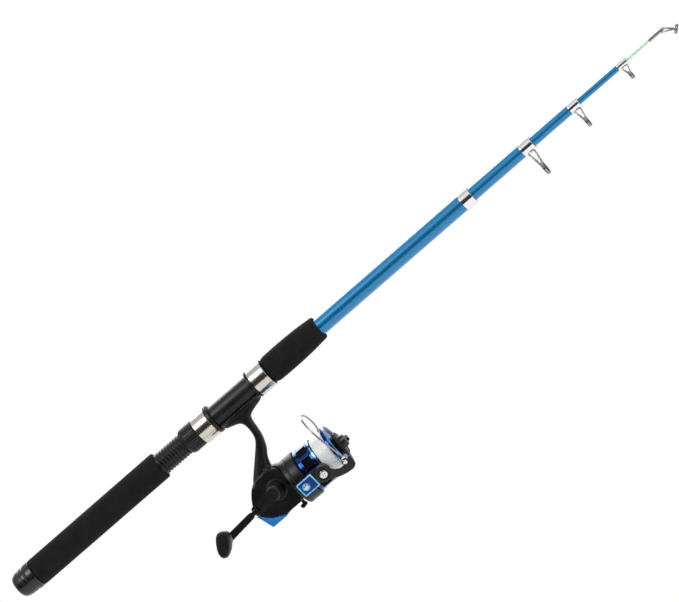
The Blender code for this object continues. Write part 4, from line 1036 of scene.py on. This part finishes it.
# %% Pivot screws and the far disc
def pivot_screw(node, radius, reach, outward):
    """A shouldered screw that the bail turns on, with its head just clear of what it holds."""
    head = reach + 0.3
    screw = [(20.6, 0), (20.6, 1.8), (head, 1.8), (head, radius), (head + 0.7, radius)]
    screw += [(head + 1.1, radius - 0.8), (head + 1.2, 0)]
    slot = (radius * 0.55, 0.7, 0.6)
    slotted_screw(f"{node}_head", screw, BAIL @ outward, slot, "rotor", [node], 64, 0.25)


pivot_screw("bail_pivot_screw", 3.4, 28.6, AGAINST_Y)
pivot_screw("bail_holder_screw", 3.0, 26.8, ALONG_Y)
disc = [(24.3, 2.1), (24.3, 5.6), (26.4, 5.6), (26.8, 5.0), (26.8, 4.0), (26.5, 3.7), (26.5, 2.1)]
turned("bail_holder_disc", disc, satin_abs, "bail", "bail_holder", BAIL @ ALONG_Y, 64)

# %% Wire and line roller
bm = bmesh.new()
route = [(19.7, -26.2, -4.4), (19.7, -24.0, -4.4), (19.7, -22.3, -4.2), (19.7, -21.7, -2.6)]
route += [(19.6, -22.0, 0), (19.3, -22.9, 3.6), (18.7, -23.8, 11.0), (17.0, -22.2, 21.5), (15.0, -16.5, 31.0)]
route += [(13.8, -8.5, 36.8), (13.4, 0.0, 38.6), (13.4, 8.5, 37.0), (13.8, 16.5, 31.8), (13.6, 22.5, 23.0)]
route += [(12.2, 25.6, 14.0), (8.2, 25.8, 7.2), (5.0, 25.6, 3.6)]
draw_wire(bm, route, 0.72, BAIL, steps=8)
dress(as_object("bail_wire_arch", bm), wire_steel, "bail", ["bail_wire"])
roller = [(0, 1.0), (0, 2.6), (0.5, 2.6), (1.1, 1.9), (1.9, 1.9), (2.5, 2.6), (3.0, 2.6), (3.0, 1.0)]
place = ROLLER @ at(0, -26.1, 0) @ ALONG_Y
turned("line_roller_turned", roller, screw_steel, "line_roller", "line_roller", place, 48)

# %% [markdown]
# ## The spool and its line
#
# The spool's skirt has windows that make it lighter, and everything on it is metallised. The windows
# are pressed into the turned skirt by the same kind of function as the thread, and their floors get
# a painted shade, a matt near-black for the dark inside of the skirt. The line is wound in level turns up to
# the flange.

# %% Spool
WINDOWS = 10


def skirt_windows(along, angle, radius):
    """Ten sunken windows, with a narrow rib between each two."""
    place = (angle * WINDOWS / math.tau) % 1.0
    if radius > 19.0 and 251.6 < along < 261.4 and 0.14 < place < 0.86:
        return radius - (0.9 if 0.16 < place < 0.84 and 252.0 < along < 261.0 else 0.2)
    return radius


SKIRT_R = 19.7
# Where the skirt needs a ring: at both steps of each end of the windows, between them, and beyond.
skirt_rings = (251.55, 251.65, 251.95, 252.05, 256.0, 260.95, 261.05, 261.35, 261.45, 262.6)
flange = [(282.0, 19.6), (281.6, 17.0), (280.6, 16.0), (280.6, 9.2), (272.0, 9.2), (272.0, 1.15)]
spool = [(248.5, 18.5), (248.5, 19.4), (248.9, SKIRT_R), (250.6, SKIRT_R), (250.8, 19.5), (251.2, 19.5)]
spool += [(251.4, SKIRT_R)] + [(along, SKIRT_R) for along in skirt_rings] + [(262.8, 19.4), (263.2, 19.4)]
spool += [(263.4, SKIRT_R), (264.7, SKIRT_R), (265.0, 19.3), (265.0, 12.0), (278.0, 12.0), (278.0, 19.9)]
spool += [(278.5, 20.3), (281.2, 20.3), *flange, (262.0, 1.15)]
spool += [(262.0, 5.0), (269.0, 5.0), (269.0, 10.4), (263.4, 10.4), (263.4, 18.5)]
spool = turned(
    "spool_metallised", spool, blue_plating, "spool", "spool",
    REEL, sides=36 * WINDOWS, soften=0.0, shape=skirt_windows, angle=30,
)


def along_and_reach(face):
    """A face's place along the reel's axis and its distance from it, in millimetres."""
    x, y, z = (value / MM for value in face.center)
    return x, math.hypot(y, z - REEL_Z)


def window_floor(face):
    """The sunken floor of a window."""
    x, reach = along_and_reach(face)
    return 252.0 < x < 261.0 and 18.7 < reach < 19.2


def painted_highlight_rim(face):
    """The edges of the skirt and of the flange, which get a painted highlight."""
    x, reach = along_and_reach(face)
    return reach > 19.55 and (x < 249.4 or 263.3 < x < 265.0 or 278.0 < x < 278.9 or x > 280.9)


# The window floors get a near-black painted shade.
second_finish(spool, painted_shade_inside, window_floor)
# Skirt and flange edges get the pale plating as a painted highlight.
second_finish(spool, painted_highlight_plating, painted_highlight_rim)
print("spool finishes:", [material.name for material in spool.data.materials])

# %% Line
LINE_STEPS = 41
heights = [18.1 + 0.5 * math.sin(math.pi * step / LINE_STEPS) ** 0.6 for step in range(LINE_STEPS + 1)]
line = [(265.3 + 0.3 * step, height) for step, height in enumerate(heights)]
line = [(265.3, 12.3), *line, (277.7, 12.3)]
turned("line_on_spool", line, nylon, "spool", "wound_line", REEL, sides=128, soften=0.0)


# %% Drag knob
FLUTES = 14


def knob_grip(along, angle, radius):
    """Shallow flutes round the knob's rim."""
    return radius - (0.5 * max(0.0, math.cos(angle * FLUTES)) if radius > 10.3 else 0.0)


bm = bmesh.new()
knob = [(276.2, 1.2), (276.2, 8.4), (282.4, 8.4), (282.4, 10.2), (283.2, 10.8), (284.2, 10.8), (285.0, 10.8)]
knob += [(285.8, 10.2), (285.8, 6.0), (289.6, 5.0), (289.6, 1.2)]
turn(bm, knob, REEL, 10 * FLUTES, soften=0.3, shape=knob_grip)
wing = [(-10.0, -2.2), (0, -3.0), (10.0, -2.2), (10.6, 0.0)]
wing += [(-y, -z) for y, z in wing]
press(bm, wing, 285.2, 290.7, REEL, "X", soften=1.2, edge=0.9)
knob = as_object("drag_knob_winged", bm)
drill(knob, 270, 289.3, 1.15, REEL, joins=True)
dress(knob, satin_abs, "drag_knob", ["drag_knob"])

# %% [markdown]
# ## The crank
#
# The crank screws into the drive gear's axle. Its shank ends in a fork, the arm folds between the
# fork's cheeks, and the grip spins on a rivet. The grip is a paddle, wider at one end than
# at the other, so it is lofted through egg-shaped rings and its edges are rounded by a bevel.

# %% Shank and fork
FOLD_HOLE, RIVET_HOLE = 1.3, 1.4
bm = bmesh.new()
shank = [(12.1, 0), (12.1, 6.6), (13.0, 7.0), (15.4, 7.0), (16.4, 6.2), (18.1, 5.7), (29.1, 5.1), (30.7, 6.0)]
turn(bm, [*shank, (36.4, 6.2), (37.4, 5.2), (37.5, 0)], CRANK @ AGAINST_Y, 64, soften=0.5)
fork = [(0.0, 6.2), (-5.5, 5.9), (-11.0, 5.2), (-20.4, 4.4), (-22.1, 2.6)]
press(bm, fork + [(x, -z) for x, z in reversed(fork)], -37.1, -30.9, CRANK, soften=0.8, edge=0.7)
shank = as_object("crank_shank_fork", bm)
mill(shank, oblong(-26.0, -2.15, -16.1, 2.15), -40.0, -28.0, CRANK, soften=0.4, joins=True)
drill(shank, -8, 8, FOLD_HOLE, FOLD @ AGAINST_Z, joins=True)
dress(shank, satin_abs, "crank", ["crank_shank"])
turned("fold_pin", pin(-3.8, 3.8, 1.1), screw_steel, "crank", "crank_fold_pin", FOLD @ AGAINST_Z, 32)

# %% Folding arm
bm = bmesh.new()
eye = [(-37.0, -1.75), (-37.0, 1.75), *arc(1.75, 0, -90, 12)]
press(bm, eye, -2.0, 2.0, FOLD, "Z", edge=0.35)
blade = [(-5.6, 2.6), (-8.0, 2.9), (-29.0, 3.2), (-34.5, 3.4), (-37.4, 1.9)]
press(bm, blade + [(x, -z) for x, z in reversed(blade)], -1.75, 1.75, FOLD, soften=0.9, edge=0.6)
arm = as_object("crank_arm_folding", bm)
groove = [(-8.5, 1.3), (-29.0, 1.5), (-29.0, -1.5), (-8.5, -1.3)]
mill(arm, groove, -2.6, -1.35, FOLD, soften=0.7, joins=True)
bm = bmesh.new()
turn(bm, pin(-6, 6, FOLD_HOLE), FOLD @ AGAINST_Z, 32, soften=0.0)
turn(bm, pin(-6, 6, RIVET_HOLE), KNOB @ AGAINST_Y, 32, soften=0.0)
carve(arm, bm)
dress(arm, satin_abs, "crank_arm", ["crank_arm"])

# %% Grip and its rivet
GRIP_START, GRIP_LENGTH, GRIP_SIDES = 2.45, 28.8, 24
# How far along the grip a ring lies, from 0 to 1, and its half height and half depth.
GRIP = ((0.0, 4.2, 4.2), (0.14, 4.6, 4.4), (0.30, 6.6, 4.8), (0.55, 9.8, 5.8), (0.80, 11.0, 6.2))
GRIP += ((0.94, 10.6, 5.8), (1.0, 9.0, 4.6))
bm = bmesh.new()
rings = []
for reach, high, deep in smooth_route(GRIP, 3):
    y = -(GRIP_START + GRIP_LENGTH * reach)
    ring = []
    for step in range(GRIP_SIDES):
        angle = math.tau * step / GRIP_SIDES
        narrow = 1 + 0.16 * math.sin(angle)
        x = deep * narrow * squarer(math.cos(angle), 0.8)
        ring.append((x, y, high * squarer(math.sin(angle), 0.8)))
    rings.append(ring)
loft(bm, rings, KNOB)
grip = as_object("crank_grip_paddle", bm)
bm = bmesh.new()
turn(bm, pin(-2, 27.6, RIVET_HOLE), KNOB @ AGAINST_Y, 32, soften=0.0)
press(bm, oblong(-3.2, -6.5, 3.2, 6.5), -33.0, -30.75, KNOB, soften=1.5)
carve(grip, bm)
bevel = grip.modifiers.new("worn_edges", "BEVEL")
bevel.width, bevel.segments, bevel.angle_limit = 0.7 * MM, 3, math.radians(28)
settle(grip)
dress(grip, satin_abs, "crank_knob", ["crank_knob"], angle=24)
rivet = [(-2.35, 0), (-2.35, 2.4), (-1.9, 2.4), (-1.9, 1.2), (27.25, 1.2), (27.25, 0)]
turned("grip_rivet", rivet, screw_steel, "crank_arm", "knob_rivet", KNOB @ AGAINST_Y, 32, soften=0.1)

# %% [markdown]
# ## What stays as it is
#
# The gears, shafts and bearings inside the case keep their solids, and get the finish of their metal.
# They hardly show, but they are there when a cover is taken off.

# %% Finishes of the inner pieces
INNER = {
    "drive_gear": inner_zinc,
    "oscillation_gear": inner_zinc,
    "oscillation_slider": inner_zinc,
    "drive_axle": inner_steel,
    "main_shaft": inner_steel,
    "drag_washers": inner_steel,
    "pinion_bearing": inner_steel,
    "anti_reverse_ratchet": inner_steel,
    "anti_reverse_pawl": inner_steel,
    "pinion": inner_brass,
    "rotor_nut": inner_brass,
    "axle_bush_near": inner_brass,
    "axle_bush_far": inner_brass,
}
for name, finish in INNER.items():
    for material_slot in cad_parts[name].material_slots:
        material_slot.material = finish
print("finished:", ", ".join(INNER))

# %% [markdown]
# ## The size
#
# Both boxes, the solid model's and the dressed pieces', are printed. The dressed pieces have to stay
# inside the solid model's box.

# %% Boxes and the end
new_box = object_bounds()
for word, box in (("cad", cad_box), ("visual", new_box)):
    print(word, [[round(v * 1000, 1) for v in corner] for corner in box])
shown = [n for n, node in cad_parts.items() if not node.hide_render and n not in INNER]
print("solids still to dress:", shown)
